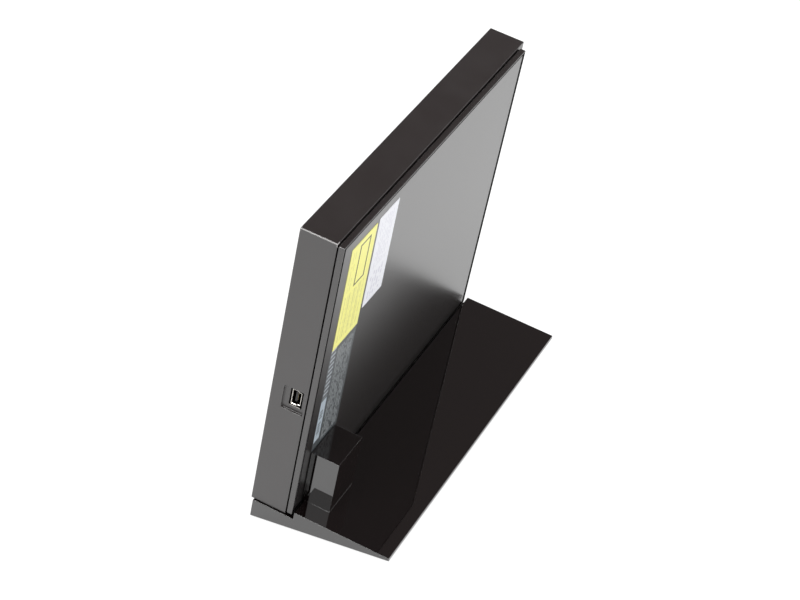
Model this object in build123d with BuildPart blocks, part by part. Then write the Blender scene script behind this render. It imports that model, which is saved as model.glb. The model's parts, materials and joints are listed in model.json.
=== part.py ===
import os
from math import cos, radians, sin, tan

from build123d import *

os.makedirs("parts", exist_ok=True)

# All sizes are in millimetres and degrees.
# The drive is modelled lying flat on its plate, tray towards -Y and socket towards +Y, with
# its origin under the middle of the front edge. It is then leaned onto the stand, whose thin
# edge points to -X. The origin of the whole is on the table, under the middle of it all.

# Stand
stand_width = 64.9
stand_length = 172.5
lean_angle = 10.3
tip_thickness = 1.317
ledge_width = 19.3
channel_depth = 3.75
stand_wall = 2.0
stand_edge_radius = 0.3
cover_thickness = 1.2
cover_border = 2.2
cover_gap = 0.15
cover_setback = 19.0
hollow_rim = 1.2
foot_height = 0.8
foot_radius = 5.0
foot_gap = 0.1
foot_recess = 0.4
foot_inset = 9.0
foot_edge_radius = 0.25
left_foot_inset = 15.0
right_foot_inset = 13.5
strip_foot_inset = 4.0
strip_foot_width = 3.0
post_length = 20.8
post_thickness = 12.9
post_height = 30.95
post_setback = 9.0
post_root = 0.5
ledge_pad_width = 12.0
ledge_pad_length = 26.0
ledge_pad_thickness = 0.8
ledge_pad_inset = 14.0
stand_screw_inset = 12.0
left_screw_inset = 6.0
right_screw_inset = 5.0
stand_boss_radius = 2.6
stand_boss_skin = 0.9
stand_screw_reach = 1.6

# How the drive sits on the stand
drive_overhang = 1.24
ledge_gap = 0.25
post_gap = 0.15
pad_gap = 0.05
pad_seat_gap = 0.1
rear_step = 0.7

# Case
case_width = 145.0
case_length = 175.7
shell_depth = 16.2
seam_gap = 0.7
frame_height = 2.4
shell_roof = 1.8
shell_wall = 1.8
shell_edge_radius = 0.35
panel_border = 2.4
panel_thickness = 0.8
panel_gap = 0.12
panel_corner_radius = 1.0
panel_edge_radius = 0.15
sill_depth = 4.3
sill_height = 1.0
sill_gap = 0.2
opening_corner_radius = 0.6
frame_side_step = 0.8
frame_edge_radius = 0.3
frame_corner_radius = 0.6
rim_side = 0.55
rim_end = 0.45
plate_side_gap = 1.2
plate_end_gap = 1.85
plate_thickness = 1.0
plate_inset = 0.2
plate_corner_radius = 0.5
lip_thickness = 0.7
lip_height = 1.4
lip_gap = 0.1
label_thickness = 0.12
yellow_label_width = 52.0
yellow_label_length = 21.7
yellow_label_side = 7.5
yellow_label_rear = 9.2
white_label_width = 45.8
white_label_length = 17.4
white_label_side = 6.8
label_spacing = 1.7
label_corner_radius = 0.4

# Screws
screw_shank_radius = 0.8
screw_hole_radius = 0.9
screw_head_radius = 1.8
screw_head_height = 0.5
head_hole_radius = 2.05
head_play = 0.1
tip_play = 0.5
cross_length = 2.2
cross_width = 0.4
cross_depth = 0.25
case_boss_radius = 2.2
case_boss_inset = 5.0
case_boss_front = 12.0
case_boss_rear = 8.0
case_screw_length = 7.0

# Socket in the rear end
socket_offset = 10.3
socket_width = 7.8
socket_narrow_width = 6.6
socket_thickness = 4.1
socket_depth = 8.6
socket_wall = 0.3
socket_cutout_width = 9.6
socket_cutout_height = 5.8
socket_recess_width = 12.1
socket_recess_height = 9.8
socket_recess_depth = 1.0
socket_recess_lift = 0.7
socket_recess_shift = 1.0
socket_setback = 0.2
socket_shoulder = 0.2
tongue_length = 7.3
tongue_width = 5.2
tongue_block_length = 2.1
tongue_height = 0.75
contact_count = 5
contact_pitch = 0.8
contact_width = 0.3
contact_thickness = 0.12
contact_setback = 0.3
tongue_thickness = 0.9

# Slim drive unit, fixed part
unit_width = 128.0
unit_length = 129.0
unit_height = 12.7
unit_standoff = 1.5
unit_front = 5.0
sheet = 0.6
flange_gap = 0.05
flange_depth = 4.0
unit_pad_radius = 3.5
unit_pad_offset = 50.0
unit_pad_front = 20.0
unit_pad_rear = 115.0
unit_screw_reach = 0.4
cover_screw_inset = 12.0
cover_screw_head = 0.4
cover_screw_head_radius = 1.5
cover_pressing = 0.2
guide_width = 2.1
guide_gap = 0.1
guide_front = 8.0
guide_length = 112.0
rail_thickness = 2.4
rail_width = 2.9
rail_front = 12.0
rail_hold = 41.0
rail_gap = 0.1

# What joins the tray to the unit: a flat cable and a sprung ejector
cable_left = -8.0
cable_right = 12.0
cable_thickness = 0.15
cable_fold_y = 74.0
cable_fold_gap = 0.35
cable_lift = 0.05
cable_rise = 4.0
cable_slot_reach = 1.0
cable_socket_side = 1.5
cable_socket_depth = 2.5
cable_socket_gap = 0.1
cable_socket_height = 1.6
ejector_offset = 28.0
ejector_lift = 3.0
ejector_radius = 0.8
ejector_head_radius = 1.7

# Tray
tray_gap = 0.3
tray_sheet = 0.4
tray_floor_gap = 0.9
disc_radius = 60.0
disc_margin = 0.7
disc_centre = 65.0
disc_seat_height = 8.3
disc_floor_gap = 1.0
deck_floor = 1.2
deck_rim = 1.6
deck_corner_radius = 3.0
deck_opening_gap = 0.6
small_disc_radius = 40.0
small_disc_step = 0.4
tray_travel = 126.0
deck_front = 4.0
deck_length = 117.5
deck_side_gap = 0.6
deck_wall = 3.0
deck_end_wall = 2.0
bezel_width = 131.2
bezel_height = 12.4
bezel_gap = 0.4
bezel_edge_radius = 0.4
button_offset = 41.0
button_width = 9.6
button_height = 2.8
button_gap = 0.2
button_way = 2.2
button_travel = 0.6
button_flange = 1.0
button_flange_thickness = 0.8
button_stem = 3.0
button_edge_radius = 0.3
switch_setback = 5.0
switch_width = 6.0
switch_length = 3.6
button_proud = 0.3
light_offset = 30.0
light_radius = 0.85
light_way = 1.2
release_offset = 52.0
release_radius = 0.6

# Traverse, which turns about the disc's centre: its own x runs along the sled's path
traverse_angle = -135.0
traverse_inner = -22.0
traverse_end_bar = 2.6
traverse_right = -22.5
traverse_left = 24.0
traverse_thickness = 1.0
traverse_drop = 0.2
sled_home = 24.0
sled_travel = 33.5
sled_end_room = 1.9
sled_inner = 16.0
sled_outer = 5.0
sled_half_width = 15.0
sled_clearance = 0.4
sled_thickness = 4.6
sled_rise = 1.0
sled_arm_width = 3.5
sled_arm_setback = 14.0
rod_radius = 1.0
rod_offset = 12.5
rod_start = 5.3
rod_inset = 0.4
rod_drop = 1.1
rod_block = 2.1
bearing_gap = 0.05
lead_radius = 1.0
lead_offset = 17.6
lead_drop = 0.9
lead_start = 3.6
lead_end_room = 4.0
lead_slot = 2.6
sled_motor_radius = 1.9
sled_motor_length = 13.5
lens_radius = 2.2
lens_holder_radius = 4.2
lens_holder_height = 1.5
lens_travel = 0.4
lens_side_gap = 0.35
lens_room = 1.1
shield_inner = 8.0
shield_outer = 4.2
shield_half_width = 10.5
shield_thickness = 0.2
damper_radius = 2.6
damper_post_radius = 1.2
damper_drop = 0.8
damper_points = ((-16.0, -14.0), (-16.0, 19.0), (36.0, -18.6))

# Spindle
motor_base_radius = 11.4
motor_base_thickness = 0.8
stator_radius = 8.0
rotor_radius = 10.5
rotor_wall = 1.2
spindle_shaft_radius = 1.0
turntable_radius = 14.0
turntable_thickness = 0.8
ring_inner_radius = 11.0
ring_thickness = 0.2
hub_radius = 7.45
hub_height = 1.4
hub_taper = 0.9
claw_count = 3
claw_width = 2.2
claw_height = 1.0
claw_lift = 0.9
claw_inner_radius = 4.4
claw_inset = 0.05
claw_gap = 0.1

# Latch, at the tray's rear right corner
pivot_x = 50.0
pivot_y = 103.0
pivot_radius = 1.0
latch_hub_radius = 2.4
latch_arm = 2.4
latch_thickness = 1.4
latch_reach = 16.2
latch_tail = 8.0
latch_nose = 3.4
nose_thickness = 1.4
catch_x = 44.1
catch_y = 115.1
catch_radius = 1.25
catch_way = 2.5
plunger_arm = 6.5
plunger_radius = 0.9
plunger_length = 14.0
coil_length = 11.0
coil_width = 7.0

# Boards: a chip is its middle, width, length and height
board_thickness = 1.0
main_board_left = -14.0
main_board_right = 56.0
main_board_front = 8.5
main_board_rear = 80.0
main_board_tail = 5.0
main_board_notch = 6.5
main_chips = (
    (39.0, 31.0, 14.0, 14.0, 1.0),
    (21.0, 18.0, 10.0, 8.0, 0.9),
    (51.0, 50.0, 6.0, 8.0, 0.8),
    (5.0, 12.5, 6.0, 5.0, 0.8),
    (28.0, 10.25, 6.0, 3.5, 0.7),
)
board_boss_radius = 1.8
bridge_front_chips = (
    (-17.0, 17.0, 10.0, 10.0, 1.2),
    (-31.5, 19.0, 5.0, 6.0, 1.0),
    (5.5, 12.0, 5.0, 4.0, 0.9),
)
bridge_rear_chips = ((-3.5, 13.9, 5.0, 4.0, 1.4),)
capacitor_xs = (-48.0, -43.0, 0.0, 15.0)
capacitor_radius = 2.0
capacitor_height = 3.4
capacitor_inset = 9.9
bridge_post_inset = 3.5
bridge_post_front = 14.0
board_screw_head = 0.8
bridge_corner_radius = 1.0
bridge_board_height = 4.9
bridge_board_thickness = 1.2
bridge_board_left = -58.0
bridge_board_right = 22.0
bridge_board_gap = 0.8
bridge_board_rear = 6.0
link_width = 24.0
link_offset = -40.0
link_height = 4.2
link_depth = 7.0
link_nose_inset = 2.0
link_nose_length = 3.5
link_nose_lift = 1.5
link_nose_thickness = 1.2
link_nose_gap = 0.1
link_side_gap = 0.2
link_window_gap = 0.3
unit_socket_depth = 3.4
unit_socket_wall = 0.4
unit_socket_lift = 3.9

# Heights worked out from the sizes above
case_height = frame_height + seam_gap + shell_depth
shell_z = frame_height + seam_gap
inner_roof_z = case_height - shell_roof
half_width = case_width / 2
frame_floor_z = plate_inset + plate_thickness
unit_z = frame_height + unit_standoff
rail_length = tray_travel / 2 + rail_hold
unit_floor_z = unit_z + sheet
unit_top_z = unit_z + unit_height
unit_half = unit_width / 2
unit_rear = unit_length
tray_z = unit_floor_z + tray_floor_gap
deck_z = tray_z + tray_sheet
disc_seat_z = unit_z + disc_seat_height
deck_floor_z = disc_seat_z - disc_floor_gap
slab_z = deck_floor_z - deck_floor
deck_top_z = disc_seat_z + deck_rim
deck_rear = deck_front + deck_length
deck_half_width = unit_half - sheet - deck_side_gap
guide_inner = unit_half - sheet - guide_gap - guide_width
box_half = guide_inner - tray_gap
rail_z = (unit_floor_z + slab_z) / 2
groove_depth = (rail_width - tray_gap) / 2 + rail_gap
groove_z = rail_z - rail_thickness / 2 - rail_gap
groove_top = rail_z + rail_thickness / 2 + rail_gap
bezel_z = shell_z + sill_height + bezel_gap
button_z = deck_z + 0.7
button_top = button_z + button_height
button_middle = button_z + button_height / 2
opening_end = sled_home + sled_outer + sled_travel + sled_end_room
traverse_outer = opening_end + traverse_end_bar
rod_end = traverse_outer - rod_inset
lead_end = sled_home - sled_arm_setback + sled_arm_width + sled_travel + lead_end_room
traverse_top = slab_z - traverse_drop
traverse_z = traverse_top - traverse_thickness
damper_z = traverse_z - damper_drop
rod_z = traverse_z - rod_drop
lead_z = traverse_z - lead_drop
sled_top = traverse_top + sled_rise
sled_z = sled_top - sled_thickness
board_z = slab_z - 1.4 - board_thickness
socket_z = bridge_board_height + bridge_board_thickness
socket_middle = socket_z + socket_thickness / 2

# The stand's outline: each corner follows from the last along or across the lean
lean_cos = cos(radians(lean_angle))
lean_sin = sin(radians(lean_angle))
stand_side_height = (tip_thickness + stand_width * tan(radians(lean_angle))) * lean_cos - channel_depth


def leaned(start, along, up):
    """A point that lies along the ledge, towards the thin edge, and up square to it."""
    return (start[0] - along * lean_cos - up * lean_sin, start[1] - along * lean_sin + up * lean_cos)


rear_y = (rear_step + case_length + button_proud) / 2
front_y = rear_y - stand_length
heel = (stand_width / 2, foot_height)
ledge_start = leaned(heel, 0, stand_side_height)
ledge_end = leaned(ledge_start, ledge_width, 0)
wedge_start = leaned(ledge_end, 0, channel_depth)
tip_x = -stand_width / 2
tip_z = wedge_start[1] - (wedge_start[0] - tip_x) * tan(radians(lean_angle))
drive_corner = leaned(ledge_start, -drive_overhang, ledge_gap)
post_start = case_height + post_gap - drive_overhang
pad_centre = case_height / 2 - drive_overhang
ledge_plane = Plane(
    (ledge_start[0], rear_y, ledge_start[1]), (-lean_cos, 0, -lean_sin), (-lean_sin, 0, lean_cos)
)

across = Vector(lean_sin, 0, -lean_cos)
outward = Vector(lean_cos, 0, lean_sin)
case_origin = (
    Vector(drive_corner[0], rear_y - rear_step, drive_corner[1])
    - across * half_width
    - Vector(0, case_length, 0)
    - outward * case_height
)
case_place = Location(Plane(case_origin, across, outward))
sled_path = (cos(radians(traverse_angle)), sin(radians(traverse_angle)), 0)
spindle = Plane((0, disc_centre, 0), sled_path, (0, 0, 1))


def block(x0, x1, y0, y1, z0, z1, mode=Mode.ADD):
    """A box between two corners, in the frame of the open part."""
    with Locations(((x0 + x1) / 2, (y0 + y1) / 2, (z0 + z1) / 2)):
        Box(x1 - x0, y1 - y0, z1 - z0, mode=mode)


def barrel(x, y, radius, z0, z1, mode=Mode.ADD):
    """An upright cylinder between two heights."""
    with Locations((x, y, (z0 + z1) / 2)):
        Cylinder(radius, z1 - z0, mode=mode)


def chip(x, y, width, length, z0, z1):
    """A box about its middle, between two heights."""
    block(x - width / 2, x + width / 2, y - length / 2, y + length / 2, z0, z1)


def rod_along_x(x0, x1, y, z, radius, mode=Mode.ADD):
    """A cylinder along the open part's x."""
    with Locations(((x0 + x1) / 2, y, z)):
        Cylinder(radius, x1 - x0, rotation=(0, 90, 0), mode=mode)


def rod_along_y(x, y0, y1, z, radius, mode=Mode.ADD):
    """A cylinder along the open part's y."""
    with Locations((x, (y0 + y1) / 2, z)):
        Cylinder(radius, y1 - y0, rotation=(90, 0, 0), mode=mode)


# Stand

cover_z = foot_height + cover_thickness
cover_left = tip_x + cover_setback
cover_right = heel[0] - cover_border
cover_front = front_y + cover_border
cover_rear = rear_y - cover_border
screw_xs = (cover_left + left_screw_inset, cover_right - right_screw_inset)
screw_ys = (front_y + stand_screw_inset, rear_y - stand_screw_inset)
foot_xs = (cover_left + left_foot_inset, cover_right - right_foot_inset)
foot_ys = (front_y + foot_inset, rear_y - foot_inset)
pad_ys = (
    ledge_pad_inset + ledge_pad_length / 2,
    stand_length - ledge_pad_inset - ledge_pad_length / 2,
)
pad_floor = ledge_plane.offset(ledge_gap - pad_gap - ledge_pad_thickness)


def ledge_line(x, depth):
    """Height of a line under the ledge, so deep below its surface."""
    return ledge_start[1] - (ledge_start[0] - x) * tan(radians(lean_angle)) - depth / lean_cos


with BuildPart() as stand_body:
    with BuildSketch(Plane.XZ.offset(-rear_y)):
        with BuildLine():
            Polyline(
                heel, ledge_start, ledge_end, wedge_start, (tip_x, tip_z), (tip_x, foot_height), close=True
            )
        make_face()
    extrude(amount=stand_length)
    fillet(stand_body.edges().filter_by(Axis.Y).sort_by(Axis.X)[-2:], stand_edge_radius)
    with BuildSketch(Plane.XZ.offset(-rear_y + post_setback)):
        with BuildLine():
            Polyline(
                leaned(ledge_start, post_start, -post_root),
                leaned(ledge_start, post_start, post_height),
                leaned(ledge_start, post_start + post_thickness, post_height),
                leaned(ledge_start, post_start + post_thickness, -post_root),
                close=True,
            )
        make_face()
    extrude(amount=post_length)
    # Hollow under the ledge and the wedge, closed by the cover
    hollow_right = cover_right - hollow_rim
    hollow_left = cover_left + hollow_rim
    hollow_step = wedge_start[0] - stand_wall
    with BuildSketch(Plane.XZ.offset(-cover_rear + hollow_rim)):
        with BuildLine():
            Polyline(
                (hollow_right, foot_height),
                (hollow_right, ledge_line(hollow_right, stand_wall)),
                (hollow_step, ledge_line(hollow_step, stand_wall)),
                (hollow_step, ledge_line(hollow_step, stand_wall - channel_depth)),
                (hollow_left, ledge_line(hollow_left, stand_wall - channel_depth)),
                (hollow_left, foot_height),
                close=True,
            )
        make_face()
    extrude(amount=stand_length - 2 * (cover_border + hollow_rim), mode=Mode.SUBTRACT)
    block(cover_left - cover_gap, cover_right + cover_gap, cover_front - cover_gap, cover_rear + cover_gap,
          foot_height, cover_z, mode=Mode.SUBTRACT)
    for x in screw_xs:
        for y in screw_ys:
            depth = stand_boss_skin if x > wedge_start[0] else stand_boss_skin - channel_depth
            top = ledge_line(x, depth)
            barrel(x, y, stand_boss_radius, cover_z, top)
            barrel(x, y, screw_hole_radius, cover_z, top - 1.0, mode=Mode.SUBTRACT)
    # Shallow seats for the two pads that the drive stands on
    for y in pad_ys:
        with BuildSketch(pad_floor):
            with Locations((pad_centre, y)):
                Rectangle(ledge_pad_width + pad_seat_gap, ledge_pad_length + pad_seat_gap)
        extrude(amount=5, mode=Mode.SUBTRACT)

with BuildPart() as ledge_pads:
    for y in pad_ys:
        with BuildSketch(pad_floor):
            with Locations((pad_centre, y)):
                Rectangle(ledge_pad_width, ledge_pad_length)
        extrude(amount=ledge_pad_thickness)

stand_head_z = foot_height + head_play

with BuildPart() as stand_cover:
    with BuildSketch(Plane.XY.offset(foot_height)):
        with Locations(((cover_left + cover_right) / 2, (cover_front + cover_rear) / 2)):
            Rectangle(cover_right - cover_left, cover_rear - cover_front)
    extrude(amount=cover_thickness)
    for x in screw_xs:
        for y in screw_ys:
            barrel(x, y, screw_hole_radius + head_play, foot_height, cover_z, mode=Mode.SUBTRACT)
            barrel(x, y, head_hole_radius, foot_height, stand_head_z + screw_head_height, mode=Mode.SUBTRACT)
    for x in foot_xs:
        for y in foot_ys:
            barrel(x, y, foot_radius + foot_gap, foot_height, foot_height + foot_recess, mode=Mode.SUBTRACT)

with BuildPart() as stand_feet:
    for x in foot_xs:
        for y in foot_ys:
            barrel(x, y, foot_radius, 0, foot_height + foot_recess)
    # A narrow strip foot under the thin edge keeps the wedge level
    strip_x = tip_x + strip_foot_inset
    block(strip_x, strip_x + strip_foot_width, front_y + foot_inset, rear_y - foot_inset, 0, foot_height)
    fillet(stand_feet.edges().group_by(Axis.Z)[0], foot_edge_radius)

with BuildPart() as stand_screws:
    for x in screw_xs:
        for y in screw_ys:
            barrel(x, y, screw_head_radius, stand_head_z, stand_head_z + screw_head_height)
            barrel(x, y, screw_shank_radius, stand_head_z, cover_z + stand_screw_reach)
            with Locations((x, y, stand_head_z)):
                Box(cross_length, cross_width, 2 * cross_depth, mode=Mode.SUBTRACT)
                Box(cross_width, cross_length, 2 * cross_depth, mode=Mode.SUBTRACT)

# Case

boss_points = [
    (side * (half_width - case_boss_inset), y)
    for side in (-1, 1)
    for y in (case_boss_front, case_length - case_boss_rear)
]
pad_points = [(side * unit_pad_offset, y) for side in (-1, 1) for y in (unit_pad_front, unit_pad_rear)]
bridge_front_y = unit_rear + bridge_board_gap
bridge_rear_y = case_length - bridge_board_rear
post_points = [
    (x, y)
    for x in (bridge_board_left + bridge_post_inset, bridge_board_right - bridge_post_inset)
    for y in (bridge_front_y + bridge_post_front, bridge_rear_y - bridge_post_inset)
]
bridge_middle = ((bridge_board_left + bridge_board_right) / 2, (bridge_front_y + bridge_rear_y) / 2)
opening_width = bezel_width + 2 * bezel_gap
opening_z = bezel_z - bezel_gap
opening_top = bezel_z + bezel_height + bezel_gap
front = Plane((0, 0, 0), (1, 0, 0), (0, -1, 0))
rear = Plane((0, case_length, 0), (-1, 0, 0), (0, 1, 0))

with BuildPart() as case_shell:
    with BuildSketch(Plane.XY.offset(shell_z)):
        with Locations((0, case_length / 2)):
            Rectangle(case_width, case_length)
    extrude(amount=shell_depth)
    fillet(case_shell.edges().filter_by(Axis.Z), shell_edge_radius)
    fillet(case_shell.edges().group_by(Axis.Z)[-1], shell_edge_radius)
    block(-half_width + shell_wall, half_width - shell_wall, shell_wall, case_length - shell_wall,
          shell_z, inner_roof_z, mode=Mode.SUBTRACT)
    # The sill under the tray's opening closes the front of the seam
    block(-half_width + shell_wall, half_width - shell_wall, shell_wall, sill_depth, shell_z, opening_z)
    with BuildSketch(front):
        with Locations((0, (opening_z + opening_top) / 2)):
            RectangleRounded(opening_width, opening_top - opening_z, opening_corner_radius)
    extrude(amount=-shell_wall, mode=Mode.SUBTRACT)
    with BuildSketch(rear):
        with Locations((-socket_offset - socket_recess_shift, socket_middle + socket_recess_lift)):
            RectangleRounded(socket_recess_width, socket_recess_height, opening_corner_radius)
    extrude(amount=-socket_recess_depth, mode=Mode.SUBTRACT)
    with BuildSketch(rear):
        with Locations((-socket_offset, socket_middle)):
            RectangleRounded(socket_cutout_width, socket_cutout_height, opening_corner_radius)
    extrude(amount=-shell_wall, mode=Mode.SUBTRACT)
    with BuildSketch(Plane.XY.offset(case_height)):
        with Locations((0, case_length / 2)):
            RectangleRounded(
                case_width - 2 * panel_border, case_length - 2 * panel_border, panel_corner_radius
            )
    extrude(amount=-panel_thickness, mode=Mode.SUBTRACT)
    for x, y in boss_points:
        barrel(x, y, case_boss_radius, frame_height, inner_roof_z)
        barrel(x, y, screw_hole_radius, frame_height, frame_height + case_screw_length, mode=Mode.SUBTRACT)

with BuildPart() as top_panel:
    with BuildSketch(Plane.XY.offset(case_height - panel_thickness)):
        with Locations((0, case_length / 2)):
            RectangleRounded(
                case_width - 2 * (panel_border + panel_gap),
                case_length - 2 * (panel_border + panel_gap),
                panel_corner_radius - panel_gap,
            )
    extrude(amount=panel_thickness)
    fillet(top_panel.edges().group_by(Axis.Z)[-1], panel_edge_radius)

screw_head_z = frame_floor_z + head_play
frame_half = half_width - frame_side_step
frame_front = sill_depth + sill_gap
plate_half = frame_half - rim_side - plate_side_gap
plate_front = frame_front + rim_end + plate_end_gap
plate_rear = case_length - rim_end - plate_end_gap
lip_half = half_width - shell_wall - lip_gap
lip_rear = case_length - shell_wall - lip_gap

with BuildPart() as bottom_frame:
    with BuildSketch():
        with Locations((0, (frame_front + case_length) / 2)):
            RectangleRounded(2 * frame_half, case_length - frame_front, frame_corner_radius)
    extrude(amount=frame_height)
    fillet(bottom_frame.edges().group_by(Axis.Z)[0], frame_edge_radius)
    block(-frame_half + rim_side, frame_half - rim_side, frame_front + rim_end, case_length - rim_end,
          0, frame_floor_z, mode=Mode.SUBTRACT)
    block(-lip_half, lip_half, frame_front, lip_rear, frame_height, frame_height + lip_height)
    block(-lip_half + lip_thickness, lip_half - lip_thickness, frame_front + lip_thickness,
          lip_rear - lip_thickness, frame_height, frame_height + lip_height, mode=Mode.SUBTRACT)
    for x, y in pad_points:
        barrel(x, y, unit_pad_radius, frame_height, unit_z)
    for x, y in post_points:
        barrel(x, y, case_boss_radius, frame_height, bridge_board_height)
        barrel(x, y, screw_hole_radius, frame_height, bridge_board_height, mode=Mode.SUBTRACT)
    for x, y in pad_points + boss_points:
        barrel(x, y, screw_hole_radius, frame_floor_z, unit_z, mode=Mode.SUBTRACT)
        barrel(x, y, head_hole_radius, frame_floor_z, screw_head_z + screw_head_height, mode=Mode.SUBTRACT)

with BuildPart() as bottom_plate:
    with BuildSketch(Plane.XY.offset(plate_inset)):
        with Locations((0, (plate_front + plate_rear) / 2)):
            RectangleRounded(2 * plate_half, plate_rear - plate_front, plate_corner_radius)
    extrude(amount=plate_thickness)

yellow_x = yellow_label_side - half_width + yellow_label_width / 2
yellow_y = case_length - yellow_label_rear - yellow_label_length / 2
white_x = white_label_side - half_width + white_label_width / 2
white_y = yellow_y - (yellow_label_length + white_label_length) / 2 - label_spacing

with BuildPart() as label_yellow:
    with BuildSketch(Plane.XY.offset(plate_inset - label_thickness)):
        with Locations((yellow_x, yellow_y)):
            RectangleRounded(yellow_label_width, yellow_label_length, label_corner_radius)
    extrude(amount=label_thickness)

with BuildPart() as label_white:
    with BuildSketch(Plane.XY.offset(plate_inset - label_thickness)):
        with Locations((white_x, white_y)):
            RectangleRounded(white_label_width, white_label_length, label_corner_radius)
    extrude(amount=label_thickness)


def add_screws(points, tip_z):
    """Pan-head screws driven in from below, heads in the frame's floor."""
    for x, y in points:
        barrel(x, y, screw_head_radius, screw_head_z, screw_head_z + screw_head_height)
        barrel(x, y, screw_shank_radius, screw_head_z, tip_z)


with BuildPart() as case_screws:
    add_screws(boss_points, frame_height + case_screw_length - tip_play)

with BuildPart() as unit_screws:
    add_screws(pad_points, unit_floor_z + unit_screw_reach)

# Socket and the board behind the drive unit

socket_mouth = case_length - socket_recess_depth - socket_setback
socket_plane = Plane((socket_offset, socket_mouth, socket_middle), (-1, 0, 0), (0, 1, 0))


def socket_outline(inset):
    """The socket's section: full width at the top, narrower towards the board."""
    half_top = socket_width / 2 - inset
    half_bottom = socket_narrow_width / 2 - inset
    half_height = socket_thickness / 2 - inset
    waist = -half_height * 0.55
    Polygon(
        (-half_top, half_height), (half_top, half_height), (half_top, -socket_shoulder),
        (half_bottom, waist), (half_bottom, -half_height), (-half_bottom, -half_height),
        (-half_bottom, waist), (-half_top, -socket_shoulder), align=None,
    )


with BuildPart() as usb_shell:
    with BuildSketch(socket_plane):
        socket_outline(0)
    extrude(amount=-socket_depth)
    with BuildSketch(socket_plane):
        socket_outline(socket_wall)
    extrude(amount=-socket_depth + socket_wall, mode=Mode.SUBTRACT)

socket_back = socket_mouth - socket_depth + socket_wall
tongue_front = socket_back + tongue_length
tongue_z = socket_middle + tongue_height - tongue_thickness
tongue_gap = socket_wall + 0.1
tongue_half = socket_width / 2 - tongue_gap
contact_z = tongue_z - contact_thickness

with BuildPart() as usb_tongue:
    block(socket_offset - tongue_half, socket_offset + tongue_half, socket_back,
          socket_back + tongue_block_length, socket_middle + 0.1, socket_z + socket_thickness - tongue_gap)
    block(socket_offset - tongue_width / 2, socket_offset + tongue_width / 2, socket_back, tongue_front,
          tongue_z, socket_middle + tongue_height)

with BuildPart() as usb_contacts:
    for number in range(contact_count):
        x = socket_offset + (number - (contact_count - 1) / 2) * contact_pitch
        block(x - contact_width / 2, x + contact_width / 2, socket_back + tongue_block_length,
              tongue_front - contact_setback, contact_z, tongue_z)

with BuildPart() as bridge_board:
    with BuildSketch(Plane.XY.offset(bridge_board_height)):
        with Locations(bridge_middle):
            RectangleRounded(
                bridge_board_right - bridge_board_left, bridge_rear_y - bridge_front_y, bridge_corner_radius
            )
    extrude(amount=bridge_board_thickness)
    for x, y in post_points:
        barrel(x, y, screw_hole_radius, bridge_board_height, socket_z, mode=Mode.SUBTRACT)

with BuildPart() as board_screws:
    for x, y in post_points:
        barrel(x, y, screw_head_radius, socket_z, socket_z + board_screw_head)
        barrel(x, y, screw_shank_radius, frame_height + 0.2, socket_z)

with BuildPart() as bridge_chips:
    for x, y, width, length, height in bridge_front_chips:
        chip(x, bridge_front_y + y, width, length, socket_z, socket_z + height)
    for x, y, width, length, height in bridge_rear_chips:
        chip(x, bridge_rear_y - y, width, length, socket_z, socket_z + height)
    for x in capacitor_xs:
        barrel(x, bridge_rear_y - capacitor_inset, capacitor_radius, socket_z, socket_z + capacitor_height)

link_left = link_offset - link_width / 2
link_right = link_offset + link_width / 2
nose_z = socket_z + link_nose_lift

with BuildPart() as bridge_plug:
    block(link_left, link_right, bridge_front_y, bridge_front_y + link_depth, socket_z,
          socket_z + link_height)
    block(link_left + link_nose_inset, link_right - link_nose_inset, bridge_front_y - link_nose_length,
          bridge_front_y, nose_z, nose_z + link_nose_thickness)

# Slim drive unit, fixed part

with BuildPart() as unit_chassis:
    block(-unit_half, unit_half, unit_front, unit_rear, unit_z, unit_top_z - sheet)
    block(-unit_half + sheet, unit_half - sheet, unit_front, unit_rear - sheet, unit_floor_z, unit_top_z,
          mode=Mode.SUBTRACT)
    fillet(unit_chassis.edges().filter_by(Axis.Y).group_by(Axis.Z)[0], 0.5)
    for x, y in pad_points:
        barrel(x, y, screw_hole_radius, unit_z, unit_floor_z, mode=Mode.SUBTRACT)
    # Window for the plug that joins the unit to the board behind it
    block(link_left - link_window_gap, link_right + link_window_gap, unit_rear - sheet, unit_rear,
          socket_z + link_side_gap, socket_z + link_height, mode=Mode.SUBTRACT)

flange_half = unit_half + flange_gap + sheet
flange_z = unit_top_z - flange_depth
cover_screw_ys = (unit_front + cover_screw_inset, unit_rear - cover_screw_inset)
side_screw_z = unit_top_z - flange_depth / 2

with BuildPart() as unit_cover:
    block(-flange_half, flange_half, unit_front, unit_rear + flange_gap + sheet, flange_z, unit_top_z)
    block(-flange_half + sheet, flange_half - sheet, unit_front, unit_rear + flange_gap,
          flange_z, unit_top_z - sheet, mode=Mode.SUBTRACT)
    # A shallow round pressing stiffens the cover over the disc
    with BuildSketch(Plane.XY.offset(unit_top_z)):
        with Locations((0, disc_centre)):
            Circle(disc_radius * 0.8)
    extrude(amount=-cover_pressing, mode=Mode.SUBTRACT)
    for y in cover_screw_ys:
        rod_along_x(-flange_half, flange_half, y, side_screw_z, screw_hole_radius, mode=Mode.SUBTRACT)

with BuildPart() as cover_screws:
    for y in cover_screw_ys:
        for side in (-1, 1):
            inner = side * (unit_half + flange_gap)
            outer = side * flange_half
            rod_along_x(min(inner, outer), max(inner, outer), y, side_screw_z, screw_shank_radius)
            tip = outer + side * cover_screw_head
            rod_along_x(min(outer, tip), max(outer, tip), y, side_screw_z, cover_screw_head_radius)


def guide(side):
    """A fixed guide on one side, with its groove facing the tray."""
    with BuildPart() as piece:
        block(guide_inner, guide_inner + guide_width, guide_front, guide_front + guide_length,
              unit_floor_z, slab_z - tray_gap)
        block(guide_inner, guide_inner + groove_depth, guide_front, guide_front + guide_length,
              groove_z, groove_top, mode=Mode.SUBTRACT)
        if side < 0:
            mirror(about=Plane.YZ, mode=Mode.REPLACE)
    return piece


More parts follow.
